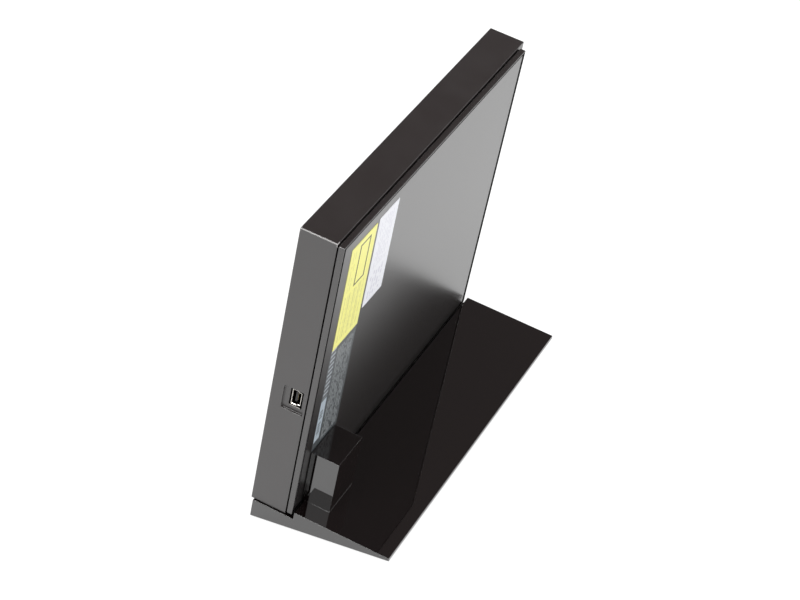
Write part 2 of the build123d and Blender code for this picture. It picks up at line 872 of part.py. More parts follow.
def slide_rail(side):
    """A steel bar that runs half in the guide and half in the tray's groove."""
    middle = (guide_inner + box_half) / 2
    with BuildPart() as piece:
        block(middle - rail_width / 2, middle + rail_width / 2, rail_front, rail_front + rail_length,
              rail_z - rail_thickness / 2, rail_z + rail_thickness / 2)
        fillet(piece.edges().filter_by(Axis.Z), 0.6)
        if side < 0:
            mirror(about=Plane.YZ, mode=Mode.REPLACE)
    return piece


rail_guide_right = guide(1)
rail_guide_left = guide(-1)
slide_rail_right = slide_rail(1)
slide_rail_left = slide_rail(-1)

with BuildPart() as catch_pin:
    barrel(catch_x, catch_y, catch_radius + 0.9, unit_floor_z, unit_floor_z + 0.5)
    barrel(catch_x, catch_y, catch_radius, unit_floor_z, slab_z - 1.0)

with BuildPart() as unit_socket:
    block(link_left - link_side_gap, link_right + link_side_gap, unit_rear - sheet - unit_socket_depth,
          unit_rear - sheet, unit_floor_z, socket_z + unit_socket_lift)
    block(link_left + link_nose_inset - link_nose_gap, link_right - link_nose_inset + link_nose_gap,
          unit_rear - sheet - unit_socket_depth + unit_socket_wall, unit_rear - sheet,
          nose_z - link_nose_gap, nose_z + link_nose_thickness + link_nose_gap, mode=Mode.SUBTRACT)

cable_z = unit_floor_z + cable_lift
upper_cable_z = cable_z + cable_fold_gap
cable_end = deck_rear + 0.5

with BuildPart() as flex_cable:
    block(cable_left, cable_right, cable_fold_y, unit_rear - sheet - cable_slot_reach,
          cable_z, cable_z + cable_thickness)
    block(cable_left, cable_right, cable_fold_y, cable_end, upper_cable_z, upper_cable_z + cable_thickness)
    block(cable_left, cable_right, cable_fold_y - cable_thickness, cable_fold_y,
          cable_z, upper_cable_z + cable_thickness)
    block(cable_left, cable_right, cable_end - cable_thickness, cable_end,
          upper_cable_z, cable_z + cable_rise)

with BuildPart() as cable_socket:
    block(cable_left - cable_socket_side, cable_right + cable_socket_side,
          unit_rear - sheet - cable_socket_gap - cable_socket_depth, unit_rear - sheet - cable_socket_gap,
          cable_z + cable_thickness, cable_z + cable_thickness + cable_socket_height)

ejector_z = unit_floor_z + ejector_lift
ejector_y = deck_rear + 0.3
ejector_spring_y = ejector_y + 1.0

with BuildPart() as ejector:
    rod_along_y(ejector_offset, ejector_y, unit_rear - sheet - 0.2, ejector_z, ejector_radius)
    rod_along_y(ejector_offset, ejector_y, ejector_spring_y - 0.1, ejector_z, ejector_head_radius)

with BuildPart() as ejector_spring:
    rod_along_y(ejector_offset, ejector_spring_y, unit_rear - sheet, ejector_z, ejector_head_radius - 0.1)
    rod_along_y(ejector_offset, ejector_spring_y, unit_rear - sheet, ejector_z, ejector_radius + 0.2,
                mode=Mode.SUBTRACT)

# Tray

button_left = button_offset - button_width / 2
button_right = button_offset + button_width / 2
button_flange_y = deck_front + button_gap
stem_end = deck_front + button_stem
switch_y = deck_front + switch_setback
opening_half = sled_half_width + sled_clearance
opening_start = sled_home - sled_inner - sled_clearance
motor_start = lead_start - 0.1 - sled_motor_length
board_bosses = (
    (main_board_left + 8.0, main_board_front + 2.0),
    (main_board_right - 3.0, main_board_front + 3.5),
    (main_board_right - 3.0, main_board_rear - 4.0),
)


def traverse_opening(grow):
    """What the sled, its arm and the rotor need to pass, as a sketch on the traverse's plane."""
    Circle(rotor_radius + 0.5 + grow)
    Polygon(
        (opening_start - grow, -opening_half - grow),
        (opening_end + grow, -opening_half - grow),
        (opening_end + grow, opening_half + grow),
        (lead_end - 1.5 + grow, opening_half + grow),
        (lead_end - 1.5 + grow, lead_offset + lead_slot + grow),
        (motor_start - 0.3 - grow, lead_offset + lead_slot + grow),
        (motor_start - 0.3 - grow, opening_half - grow),
        (opening_start - grow, opening_half - grow),
        align=None,
    )


with BuildPart() as tray_deck:
    with BuildSketch(Plane.XY.offset(slab_z)):
        with Locations((0, (deck_front + deck_rear) / 2)):
            Rectangle(2 * deck_half_width, deck_length)
    extrude(amount=deck_top_z - slab_z)
    fillet(tray_deck.edges().filter_by(Axis.Z).group_by(Axis.Y)[-1], deck_corner_radius)
    with BuildSketch(Plane.XY.offset(deck_floor_z)):
        with Locations((0, disc_centre)):
            Circle(disc_radius + disc_margin)
    extrude(amount=deck_top_z - deck_floor_z, mode=Mode.SUBTRACT)
    # A lower round seat for small discs
    with BuildSketch(Plane.XY.offset(deck_floor_z)):
        with Locations((0, disc_centre)):
            Circle(small_disc_radius + disc_margin)
    extrude(amount=-small_disc_step, mode=Mode.SUBTRACT)
    # A notch in the rim lets the lens reach the disc's edge
    with BuildSketch(spindle.offset(deck_floor_z)):
        with Locations((sled_home + sled_travel, 0)):
            Circle(lens_holder_radius + lens_side_gap)
    extrude(amount=deck_top_z - deck_floor_z, mode=Mode.SUBTRACT)
    # Walls of the box that hangs under the slab
    block(-box_half, box_half, deck_front, deck_rear, deck_z, slab_z)
    block(-box_half + deck_wall, box_half - deck_wall, deck_front + deck_end_wall, deck_rear - deck_end_wall,
          deck_z, slab_z, mode=Mode.SUBTRACT)
    for side in (-1, 1):
        groove = sorted((side * box_half, side * (box_half - groove_depth)))
        block(groove[0], groove[1], deck_front, deck_rear, groove_z, groove_top, mode=Mode.SUBTRACT)
    with BuildSketch(spindle.offset(slab_z)):
        traverse_opening(deck_opening_gap)
    extrude(amount=deck_floor, mode=Mode.SUBTRACT)
    # Posts that the traverse hangs from, the board's posts, the latch's pivot
    with BuildSketch(spindle.offset(damper_z)):
        with Locations(*damper_points):
            Circle(damper_post_radius)
    extrude(amount=slab_z - damper_z)
    for x, y in board_bosses:
        barrel(x, y, board_boss_radius, board_z + board_thickness, slab_z)
    barrel(pivot_x, pivot_y, pivot_radius, deck_z + 0.2, slab_z)
    # Ways out for the catch pin and the eject button
    block(catch_x - catch_way, catch_x + catch_way, deck_rear - deck_end_wall, deck_rear,
          deck_z, slab_z - 0.6, mode=Mode.SUBTRACT)
    block(button_left - button_way, button_right + button_way, deck_front,
          deck_front + deck_end_wall, deck_z, slab_z, mode=Mode.SUBTRACT)
    block(light_offset - light_way, light_offset + light_way, deck_front, deck_front + deck_end_wall,
          deck_z, slab_z, mode=Mode.SUBTRACT)

with BuildPart() as tray_cover:
    with BuildSketch(Plane.XY.offset(tray_z)):
        with Locations((0, (deck_front + deck_rear) / 2)):
            Rectangle(2 * box_half - 0.6, deck_length - 0.6)
    extrude(amount=tray_sheet)
    block(catch_x - catch_way, catch_x + catch_way, catch_y - catch_way, deck_rear,
          tray_z, deck_z, mode=Mode.SUBTRACT)

with BuildPart() as tray_bezel:
    with BuildSketch(front):
        with Locations((0, bezel_z + bezel_height / 2)):
            RectangleRounded(bezel_width, bezel_height, 0.5)
    extrude(amount=-deck_front)
    fillet(tray_bezel.faces().sort_by(Axis.Y)[0].edges(), bezel_edge_radius)
    block(button_left - button_gap, button_right + button_gap, 0, deck_front,
          button_z - button_gap, button_top + button_gap, mode=Mode.SUBTRACT)
    rod_along_y(light_offset, 0, deck_front, button_middle, light_radius + bearing_gap, mode=Mode.SUBTRACT)
    rod_along_y(release_offset, 0, deck_front, button_middle, release_radius, mode=Mode.SUBTRACT)

with BuildPart() as status_light:
    rod_along_y(light_offset, 0.05, deck_front + 2.5, button_middle, light_radius)

with BuildPart() as eject_button:
    block(button_left, button_right, -button_proud, button_flange_y, button_z, button_top)
    fillet(eject_button.faces().sort_by(Axis.Y)[0].edges(), button_edge_radius)
    block(button_left - button_flange, button_right + button_flange, button_flange_y,
          button_flange_y + button_flange_thickness, button_z, button_top)
    block(button_offset - 1.0, button_offset + 1.0, button_flange_y, stem_end, button_z, button_z + 1.0)

with BuildPart() as eject_switch:
    block(button_offset - switch_width / 2, button_offset + switch_width / 2, switch_y,
          switch_y + switch_length, button_z - 0.3, board_z)
    rod_along_y(button_offset, stem_end + button_travel + 0.2, switch_y, button_z + 0.5, 0.6)

with BuildPart() as main_board:
    with BuildSketch(Plane.XY.offset(board_z)):
        Polygon(
            (main_board_left, main_board_front),
            (main_board_right, main_board_front),
            (main_board_right, main_board_rear),
            (main_board_right - main_board_tail, main_board_rear),
            (main_board_left, main_board_front + main_board_notch),
            align=None,
        )
    extrude(amount=board_thickness)

with BuildPart() as main_board_chips:
    for x, y, width, length, height in main_chips:
        chip(x, y, width, length, board_z - height, board_z)

# Traverse: a plate with rods, sled, lead screw and spindle

inner_x = box_half - deck_wall - 0.3
inner_front = deck_front + deck_end_wall + 0.3
inner_rear = deck_rear - deck_end_wall - 0.3

with BuildPart(spindle) as traverse_plate:
    block(traverse_inner, traverse_outer, traverse_right, traverse_left, traverse_z, traverse_top)
    with BuildSketch(spindle.offset(traverse_z)):
        traverse_opening(0)
    extrude(amount=traverse_thickness, mode=Mode.SUBTRACT)
    with BuildSketch(Plane.XY.offset(traverse_z)):
        with Locations((0, (inner_front + inner_rear) / 2)):
            Rectangle(2 * inner_x, inner_rear - inner_front)
    extrude(amount=traverse_thickness, mode=Mode.INTERSECT)
    for p, q in damper_points:
        barrel(p, q, damper_radius + 0.05, traverse_z, traverse_top, mode=Mode.SUBTRACT)
    for q in (-rod_offset, rod_offset):
        for p in (rod_start, rod_end - rod_block):
            block(p, p + rod_block, q - 1.9, q + 1.9, rod_z - 1.4, traverse_z)
        rod_along_x(rod_start, rod_end, q, rod_z, rod_radius, mode=Mode.SUBTRACT)
    block(lead_end - 1.4, lead_end + 0.4, lead_offset - 2, lead_offset + 2, lead_z - 1.5, traverse_z)
    rod_along_x(lead_end - 1.5, lead_end + 0.4, lead_offset, lead_z, lead_radius + bearing_gap,
                mode=Mode.SUBTRACT)

with BuildPart(spindle) as guide_rods:
    for q in (-rod_offset, rod_offset):
        rod_along_x(rod_start, rod_end, q, rod_z, rod_radius)

with BuildPart(spindle) as traverse_grommets:
    for p, q in damper_points:
        barrel(p, q, damper_radius, damper_z, slab_z)
        barrel(p, q, damper_post_radius + bearing_gap, damper_z, slab_z, mode=Mode.SUBTRACT)

with BuildPart(spindle) as traverse_screws:
    for p, q in damper_points:
        barrel(p, q, screw_head_radius, damper_z - screw_head_height, damper_z)

with BuildPart(spindle) as sled_motor:
    rod_along_x(motor_start, lead_start - 0.1, lead_offset, lead_z, sled_motor_radius)

with BuildPart(spindle) as lead_screw:
    rod_along_x(lead_start, lead_end + 0.3, lead_offset, lead_z, lead_radius)

holder_z = disc_seat_z - lens_room - lens_holder_height
pocket_radius = lens_holder_radius + lens_side_gap

with BuildPart(spindle) as pickup_sled:
    block(sled_home - sled_inner, sled_home + sled_outer, -sled_half_width, sled_half_width, sled_z, sled_top)
    fillet(pickup_sled.edges().filter_by(Axis.Z), 1.2)
    barrel(0, 0, motor_base_radius + 0.8, sled_z, sled_top, mode=Mode.SUBTRACT)
    arm_start = sled_home - sled_arm_setback
    block(arm_start, arm_start + sled_arm_width, sled_half_width - 2, lead_offset + 2,
          lead_z - 1.5, lead_z + 1.5)
    rod_along_x(arm_start, arm_start + sled_arm_width, lead_offset, lead_z, lead_radius + bearing_gap,
                mode=Mode.SUBTRACT)
    for q in (-rod_offset, rod_offset):
        rod_along_x(0, sled_home + sled_outer, q, rod_z, rod_radius + bearing_gap, mode=Mode.SUBTRACT)
    barrel(sled_home, 0, pocket_radius, holder_z - lens_travel - 0.2, sled_top, mode=Mode.SUBTRACT)

with BuildPart(spindle) as sled_shield:
    block(sled_home - shield_inner, sled_home + shield_outer, -shield_half_width, shield_half_width,
          sled_top, sled_top + shield_thickness)
    barrel(sled_home, 0, pocket_radius, sled_top, sled_top + shield_thickness, mode=Mode.SUBTRACT)

with BuildPart(spindle) as lens_holder:
    barrel(sled_home, 0, lens_holder_radius, holder_z, holder_z + lens_holder_height)
    barrel(sled_home, 0, lens_radius + bearing_gap, holder_z, holder_z + lens_holder_height,
           mode=Mode.SUBTRACT)

with BuildPart(spindle) as objective_lens:
    barrel(sled_home, 0, lens_radius, holder_z + 0.4, holder_z + lens_holder_height + 0.2)
    fillet(objective_lens.edges().group_by(Axis.Z)[-1], 0.5)

# Spindle: the motor stays with the traverse, the hub turns on it

base_z = traverse_z - motor_base_thickness
rotor_roof = disc_seat_z - ring_thickness - turntable_thickness - 0.6

with BuildPart(spindle) as spindle_motor:
    barrel(0, 0, motor_base_radius, base_z, traverse_z)
    barrel(0, 0, stator_radius, traverse_z, rotor_roof - 0.6)
    barrel(0, 0, 2.4, base_z - 1.4, rotor_roof - 0.4)
    barrel(0, 0, spindle_shaft_radius + bearing_gap, base_z - 1.0, rotor_roof, mode=Mode.SUBTRACT)


def claw_frame(number):
    """The radial frame of one claw: its x runs out from the spindle."""
    angle = radians(traverse_angle + 60 + number * 360 / claw_count)
    return Plane(spindle.origin, (cos(angle), sin(angle), 0), (0, 0, 1))


claw_z = disc_seat_z + claw_lift
claw_outer_radius = hub_radius - claw_inset
slot_inner = claw_inner_radius - claw_gap

with BuildPart(spindle) as spindle_hub:
    barrel(0, 0, rotor_radius, traverse_top - 0.7, rotor_roof + 0.6)
    barrel(0, 0, rotor_radius - rotor_wall, traverse_top - 0.7, rotor_roof, mode=Mode.SUBTRACT)
    barrel(0, 0, turntable_radius, rotor_roof + 0.6, disc_seat_z - ring_thickness)
    barrel(0, 0, spindle_shaft_radius, base_z - 0.8, rotor_roof)
    barrel(0, 0, hub_radius, disc_seat_z - ring_thickness, disc_seat_z + hub_height + hub_taper)
    chamfer(spindle_hub.faces().sort_by(Axis.Z)[-1].edges(), hub_taper)
    for number in range(claw_count):
        with BuildSketch(claw_frame(number).offset(claw_z - claw_gap)):
            with Locations(((slot_inner + hub_radius + 1) / 2, 0)):
                Rectangle(hub_radius + 1 - slot_inner, claw_width + 2 * claw_gap)
        extrude(amount=claw_height + 2 * claw_gap, mode=Mode.SUBTRACT)

with BuildPart(spindle) as turntable_ring:
    barrel(0, 0, turntable_radius - 0.2, disc_seat_z - ring_thickness, disc_seat_z)
    barrel(0, 0, ring_inner_radius, disc_seat_z - ring_thickness, disc_seat_z, mode=Mode.SUBTRACT)


def claw(number):
    """One sprung claw, drawn pressed in, that spreads over the disc's rim."""
    with BuildPart() as piece:
        with BuildSketch(claw_frame(number).offset(claw_z)):
            with Locations(((claw_inner_radius + claw_outer_radius) / 2, 0)):
                RectangleRounded(claw_outer_radius - claw_inner_radius, claw_width, 0.5)
        extrude(amount=claw_height)
    return piece


# Latch: the lever hooks behind the catch pin when it swings in, drawn let go

latch_z = slab_z - 1.7 - latch_thickness
plunger_z = latch_z + latch_thickness / 2
plunger_y = pivot_y - plunger_arm
plunger_tip = pivot_x - latch_arm / 2 - 0.3
coil_right = plunger_tip - 4.5

with BuildPart() as latch_lever:
    barrel(pivot_x, pivot_y, latch_hub_radius, latch_z - 0.5, slab_z - tray_gap)
    block(pivot_x - 1.0, pivot_x + 1.4, pivot_y, pivot_y + latch_reach, latch_z, latch_z + latch_thickness)
    block(pivot_x - latch_nose, pivot_x + 1.4, pivot_y + latch_reach - nose_thickness, pivot_y + latch_reach,
          latch_z, latch_z + latch_thickness)
    block(pivot_x - latch_arm / 2, pivot_x + latch_arm / 2, pivot_y - latch_tail, pivot_y,
          latch_z, latch_z + latch_thickness)
    barrel(pivot_x, pivot_y, pivot_radius + bearing_gap, latch_z - 0.5, slab_z, mode=Mode.SUBTRACT)

with BuildPart() as solenoid_plunger:
    rod_along_x(plunger_tip - plunger_length, plunger_tip - 1.5, plunger_y, plunger_z, plunger_radius)
    rod_along_x(plunger_tip - 1.5, plunger_tip, plunger_y, plunger_z, plunger_radius * 0.65)

with BuildPart() as solenoid_coil:
    block(coil_right - coil_length, coil_right, plunger_y - coil_width / 2, plunger_y + coil_width / 2,
          plunger_z - 1.5, slab_z)
    rod_along_x(coil_right - coil_length, coil_right, plunger_y, plunger_z, plunger_radius + 0.1,
                mode=Mode.SUBTRACT)

# Each piece becomes one file, named after it

on_the_table = {
    "stand_body": stand_body,
    "stand_cover": stand_cover,
    "stand_feet": stand_feet,
    "stand_screws": stand_screws,
    "ledge_pads": ledge_pads,
}
in_the_case = {
    "case_shell": case_shell,
    "top_panel": top_panel,
    "bottom_frame": bottom_frame,
    "bottom_plate": bottom_plate,
    "label_yellow": label_yellow,
    "label_white": label_white,
    "case_screws": case_screws,
    "unit_screws": unit_screws,
    "usb_shell": usb_shell,
    "usb_tongue": usb_tongue,
    "usb_contacts": usb_contacts,
    "bridge_board": bridge_board,
    "board_screws": board_screws,
    "bridge_chips": bridge_chips,
    "bridge_plug": bridge_plug,
    "unit_chassis": unit_chassis,
    "unit_cover": unit_cover,
    "cover_screws": cover_screws,
    "rail_guide_left": rail_guide_left,
    "rail_guide_right": rail_guide_right,
    "slide_rail_left": slide_rail_left,
    "slide_rail_right": slide_rail_right,
    "catch_pin": catch_pin,
    "unit_socket": unit_socket,
    "flex_cable": flex_cable,
    "cable_socket": cable_socket,
    "ejector": ejector,
    "ejector_spring": ejector_spring,
    "tray_deck": tray_deck,
    "tray_cover": tray_cover,
    "tray_bezel": tray_bezel,
    "status_light": status_light,
    "eject_button": eject_button,
    "eject_switch": eject_switch,
    "main_board": main_board,
    "main_board_chips": main_board_chips,
    "traverse_plate": traverse_plate,
    "guide_rods": guide_rods,
    "traverse_grommets": traverse_grommets,
    "traverse_screws": traverse_screws,
    "sled_motor": sled_motor,
    "lead_screw": lead_screw,
    "pickup_sled": pickup_sled,
    "sled_shield": sled_shield,
    "lens_holder": lens_holder,
    "objective_lens": objective_lens,
    "spindle_motor": spindle_motor,
    "spindle_hub": spindle_hub,
    "turntable_ring": turntable_ring,
    "latch_lever": latch_lever,
    "solenoid_plunger": solenoid_plunger,
    "solenoid_coil": solenoid_coil,
}
for number in range(claw_count):
    in_the_case[f"hub_claw_{number + 1}"] = claw(number)

for name, piece in on_the_table.items():
    piece.part.label = name
    export_step(piece.part, f"parts/{name}.step")

for name, piece in in_the_case.items():
    placed = piece.part.moved(case_place)
    placed.label = name
    export_step(placed, f"parts/{name}.step")
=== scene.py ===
import json
from math import cos, pi, sin

import bmesh
import bpy
from mathutils import Matrix, Vector

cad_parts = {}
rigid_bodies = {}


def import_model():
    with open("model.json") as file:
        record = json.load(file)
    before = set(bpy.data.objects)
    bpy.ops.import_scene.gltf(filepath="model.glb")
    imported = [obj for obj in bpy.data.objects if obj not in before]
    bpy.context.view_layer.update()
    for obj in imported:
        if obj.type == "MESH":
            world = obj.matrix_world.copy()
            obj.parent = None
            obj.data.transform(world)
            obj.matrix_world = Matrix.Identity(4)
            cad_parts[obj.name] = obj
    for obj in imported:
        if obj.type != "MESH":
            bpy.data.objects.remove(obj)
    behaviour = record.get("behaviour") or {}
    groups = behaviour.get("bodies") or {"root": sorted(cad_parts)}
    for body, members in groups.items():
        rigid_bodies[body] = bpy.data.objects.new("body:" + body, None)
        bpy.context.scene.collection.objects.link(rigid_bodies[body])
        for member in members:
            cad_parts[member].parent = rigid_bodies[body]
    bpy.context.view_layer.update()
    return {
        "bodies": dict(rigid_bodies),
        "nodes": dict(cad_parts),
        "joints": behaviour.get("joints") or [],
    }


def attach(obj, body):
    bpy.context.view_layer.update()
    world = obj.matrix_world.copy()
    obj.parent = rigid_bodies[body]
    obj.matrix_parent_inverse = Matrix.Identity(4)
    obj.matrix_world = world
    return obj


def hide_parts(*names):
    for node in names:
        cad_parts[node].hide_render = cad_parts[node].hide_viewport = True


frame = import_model()
nodes = frame["nodes"]
joints = {joint["name"]: joint for joint in frame["joints"]}

# The drive's own axes: x across its width from the top long side down, y along it from the
# tray to the socket, z out through its thickness from the plate. Sizes on it are in millimetres.
ACROSS = -Vector(joints["drive_lift"]["axis"])
ALONG = Vector((0, 1, 0))
OUTWARD = ACROSS.cross(ALONG)
MILLIMETRE = 0.001


def extent(points, axis):
    """Lowest and highest reach of points along an axis."""
    places = [point.dot(axis) for point in points]
    return min(places), max(places)


def reach(node, axis):
    """Lowest and highest reach of a CAD node along an axis, in metres."""
    return extent([vertex.co for vertex in nodes[node].data.vertices], axis)


def turned(axes, origin):
    """Matrix from millimetres in a turned frame to the row frame's metres."""
    turn = Matrix(axes).transposed().to_4x4()
    return Matrix.Translation(origin) @ turn @ Matrix.Scale(MILLIMETRE, 4)


CASE = turned((ACROSS, ALONG, OUTWARD), ACROSS * (sum(reach("case_shell", ACROSS)) / 2)
              + ALONG * reach("case_shell", ALONG)[0] + OUTWARD * reach("bottom_frame", OUTWARD)[0])
STAND = Matrix.Scale(MILLIMETRE, 4)
SLED_PATH = Vector(joints["sled_travel"]["axis"])
SPINDLE_PLACE = CASE @ Vector((0, 65, 0))
SPINDLE = turned((SLED_PATH, OUTWARD.cross(SLED_PATH), OUTWARD), SPINDLE_PLACE)


def placed(name, data):
    """A new object in the scene that shows some data."""
    made = bpy.data.objects.new(name, data)
    bpy.context.scene.collection.objects.link(made)
    return made


# Helpers for nodes


def add(tree, kind, inputs=None, **settings):
    """A node with its settings; each input is a value, or a socket that feeds it."""
    made = tree.nodes.new(kind)
    for setting, value in settings.items():
        setattr(made, setting, value)
    for name, value in (inputs or {}).items():
        if isinstance(value, bpy.types.NodeSocket):
            tree.links.new(value, made.inputs[name])
        else:
            made.inputs[name].default_value = value
    return made


def sums(tree, operation, *values, clamp=False):
    """The result of a Math node on numbers and sockets."""
    made = add(tree, "ShaderNodeMath", dict(enumerate(values)), operation=operation, use_clamp=clamp)
    return made.outputs[0]


def noise(tree, point, scale, detail):
    """The value of a cloudy noise at a point."""
    return add(tree, "ShaderNodeTexNoise", {"Vector": point, "Scale": scale, "Detail": detail}).outputs[0]


def mixed(tree, share, under, over):
    """Two colours mixed by a share. A Mix node's colours are its sockets 6 and 7 and its output 2."""
    return add(tree, "ShaderNodeMix", {0: share, 6: under, 7: over}, data_type="RGBA").outputs[2]


def ranged(tree, value, low, high, to_low, to_high):
    """A value carried from one range to another, held at its ends."""
    return add(tree, "ShaderNodeMapRange", {0: value, 1: low, 2: high, 3: to_low, 4: to_high}).outputs[0]


def new_group(name, inputs, outputs):
    """An empty shader node group: its tree, what comes in and where results go."""
    tree = bpy.data.node_groups.new(name, "ShaderNodeTree")
    for label, value in inputs.items():
        kind = "NodeSocketVector" if value is None else "NodeSocketFloat"
        made = tree.interface.new_socket(name=label, in_out="INPUT", socket_type=kind)
        if value is not None:
            made.default_value = value
    for label in outputs:
        tree.interface.new_socket(name=label, in_out="OUTPUT", socket_type="NodeSocketFloat")
    return tree, tree.nodes.new("NodeGroupInput").outputs, tree.nodes.new("NodeGroupOutput").inputs


# Effects that several finishes share; points and sizes in millimetres, the edge mask's radius in metres


def grain_group():
    """Spark-eroded grain of moulded plastic: fine pits over a slower unevenness."""
    tree, given, result = new_group("Moulded grain", {"Point": None, "Pitch": 0.4}, ("Height", "Mottle"))
    per_mm = sums(tree, "DIVIDE", 1.0, given["Pitch"])
    pits = add(tree, "ShaderNodeTexVoronoi", {"Vector": given["Point"], "Scale": per_mm},
               feature="SMOOTH_F1").outputs["Distance"]
    fine = noise(tree, given["Point"], per_mm, 2.0)
    tree.links.new(sums(tree, "MULTIPLY_ADD", pits, 0.6, fine), result["Height"])
    slow = noise(tree, given["Point"], 0.09, 3.0)
    tree.links.new(ranged(tree, slow, 0.3, 0.7, 0.0, 1.0), result["Mottle"])
    return tree


def edge_wear_and_highlight_group():
    """Where edges are rubbed, and where a painted highlight runs along an edge: the rounded normal leaves
    the true one, broken up by noise.
    """
    tree, given, result = new_group(
        "Edge wear and highlight", {"Point": None, "Radius": 0.0004, "Gain": 3.0, "Breaks": 0.5}, ("Mask",))
    rounded_normal = add(tree, "ShaderNodeBevel", {"Radius": given["Radius"]}, samples=4).outputs[0]
    true_normal = add(tree, "ShaderNodeNewGeometry").outputs["Normal"]
    meeting = add(tree, "ShaderNodeVectorMath", {0: rounded_normal, 1: true_normal},
                  operation="DOT_PRODUCT").outputs["Value"]
    edge = sums(tree, "MULTIPLY", sums(tree, "SUBTRACT", 1.0, meeting), given["Gain"], clamp=True)
    patches = noise(tree, given["Point"], 0.7, 4.0)
    softness = 0.12
    broken = ranged(tree, patches, sums(tree, "SUBTRACT", given["Breaks"], softness),
                    sums(tree, "ADD", given["Breaks"], softness), 0.0, 1.0)
    tree.links.new(sums(tree, "MULTIPLY", edge, broken), result["Mask"])
    return tree


def dust_group():
    """Few small specks and short fibres of dust lying on a surface."""
    tree, given, result = new_group(
        "Dust", {"Point": None, "Spacing": 6.0, "Share": 0.25, "Size": 0.05}, ("Mask",))
    cells = add(tree, "ShaderNodeTexVoronoi", {
        "Vector": given["Point"], "Scale": sums(tree, "DIVIDE", 1.0, given["Spacing"])})
    dice = add(tree, "ShaderNodeSeparateColor", {0: cells.outputs["Color"]}).outputs
    kept = sums(tree, "LESS_THAN", dice[0], given["Share"])
    size = sums(tree, "MULTIPLY", given["Size"], ranged(tree, dice[1], 0.0, 1.0, 0.35, 1.0))
    speck = sums(tree, "LESS_THAN", cells.outputs["Distance"], size)
    tree.links.new(sums(tree, "MULTIPLY", kept, speck), result["Mask"])
    return tree


def smudge_group():
    """Soft marks of handling that dull a gloss, and a few hairline scratches."""
    tree, given, result = new_group("Handling marks", {"Point": None, "Pitch": 25.0}, ("Smudge", "Scratch"))
    per_mm = sums(tree, "DIVIDE", 1.0, given["Pitch"])
    cloud = add(tree, "ShaderNodeTexNoise", {
        "Vector": given["Point"], "Scale": per_mm, "Detail": 5.0, "Distortion": 0.6}).outputs[0]
    tree.links.new(ranged(tree, cloud, 0.42, 0.68, 0.0, 1.0), result["Smudge"])
    bent = add(tree, "ShaderNodeMapping", {"Vector": given["Point"], "Rotation": (0.3, 0.5, 0.7),
                                           "Scale": (0.02, 1.1, 0.4)}).outputs[0]
    streak = noise(tree, bent, 1.0, 2.0)
    tree.links.new(ranged(tree, streak, 0.74, 0.78, 0.0, 1.0), result["Scratch"])
    return tree


def brushed_group():
    """Long fine streaks along y, of rolled or brushed sheet metal."""
    tree, given, result = new_group("Brushed", {"Point": None, "Pitch": 0.12}, ("Height", "Streak"))
    per_mm = sums(tree, "DIVIDE", 1.0, given["Pitch"])
    drawn = add(tree, "ShaderNodeMapping", {"Vector": given["Point"], "Scale": (1.0, 0.02, 1.0)}).outputs[0]
    fine = noise(tree, drawn, per_mm, 3.0)
    broad = noise(tree, drawn, 0.5, 4.0)
    tree.links.new(fine, result["Height"])
    tree.links.new(ranged(tree, broad, 0.3, 0.7, 0.0, 1.0), result["Streak"])
    return tree


def print_group():
    """A printed box: 1 inside its four sides, with slightly ragged ink edges."""
    tree, given, result = new_group(
        "Printed box", {"Point": None, "Left": 0.0, "Right": 1.0, "Front": 0.0, "Rear": 1.0}, ("Mask",))
    ragged = add(tree, "ShaderNodeTexNoise", {
        "Vector": given["Point"], "Scale": 6.0, "Detail": 1.0}).outputs["Color"]
    raggedness = 0.06
    shifted = add(tree, "ShaderNodeVectorMath", {0: ragged, 1: (raggedness,) * 3, 2: given["Point"]},
                  operation="MULTIPLY_ADD").outputs[0]
    place = add(tree, "ShaderNodeSeparateXYZ", {0: shifted}).outputs
    mask = sums(tree, "MULTIPLY", sums(tree, "GREATER_THAN", place[0], given["Left"]),
                sums(tree, "LESS_THAN", place[0], given["Right"]))
    mask = sums(tree, "MULTIPLY", mask, sums(tree, "GREATER_THAN", place[1], given["Front"]))
    mask = sums(tree, "MULTIPLY", mask, sums(tree, "LESS_THAN", place[1], given["Rear"]))
    tree.links.new(mask, result["Mask"])
    return tree


def rules_group():
    """Plain printed rules along x, one every pitch of y, broken into dashes of uneven length."""
    tree, given, result = new_group(
        "Printed rules", {"Point": None, "Pitch": 1.6, "Weight": 0.35, "Breaks": 0.45}, ("Mask",))
    place = add(tree, "ShaderNodeSeparateXYZ", {0: given["Point"]}).outputs
    row = sums(tree, "DIVIDE", place[1], given["Pitch"])
    in_line = sums(tree, "LESS_THAN", sums(tree, "FRACT", row), given["Weight"])
    line_place = add(tree, "ShaderNodeCombineXYZ", {0: place[0], 1: sums(tree, "FLOOR", row)}).outputs[0]
    stretched = add(tree, "ShaderNodeMapping", {"Vector": line_place, "Scale": (0.5, 7.3, 1.0)}).outputs[0]
    dashes = noise(tree, stretched, 1.0, 2.0)
    tree.links.new(sums(tree, "MULTIPLY", in_line, sums(tree, "GREATER_THAN", dashes, given["Breaks"])),
                   result["Mask"])
    return tree


GROUPS = {"grain": grain_group(), "wear": edge_wear_and_highlight_group(), "dust": dust_group(), "smudge": smudge_group(),
          "brushed": brushed_group(), "box": print_group(), "rules": rules_group()}


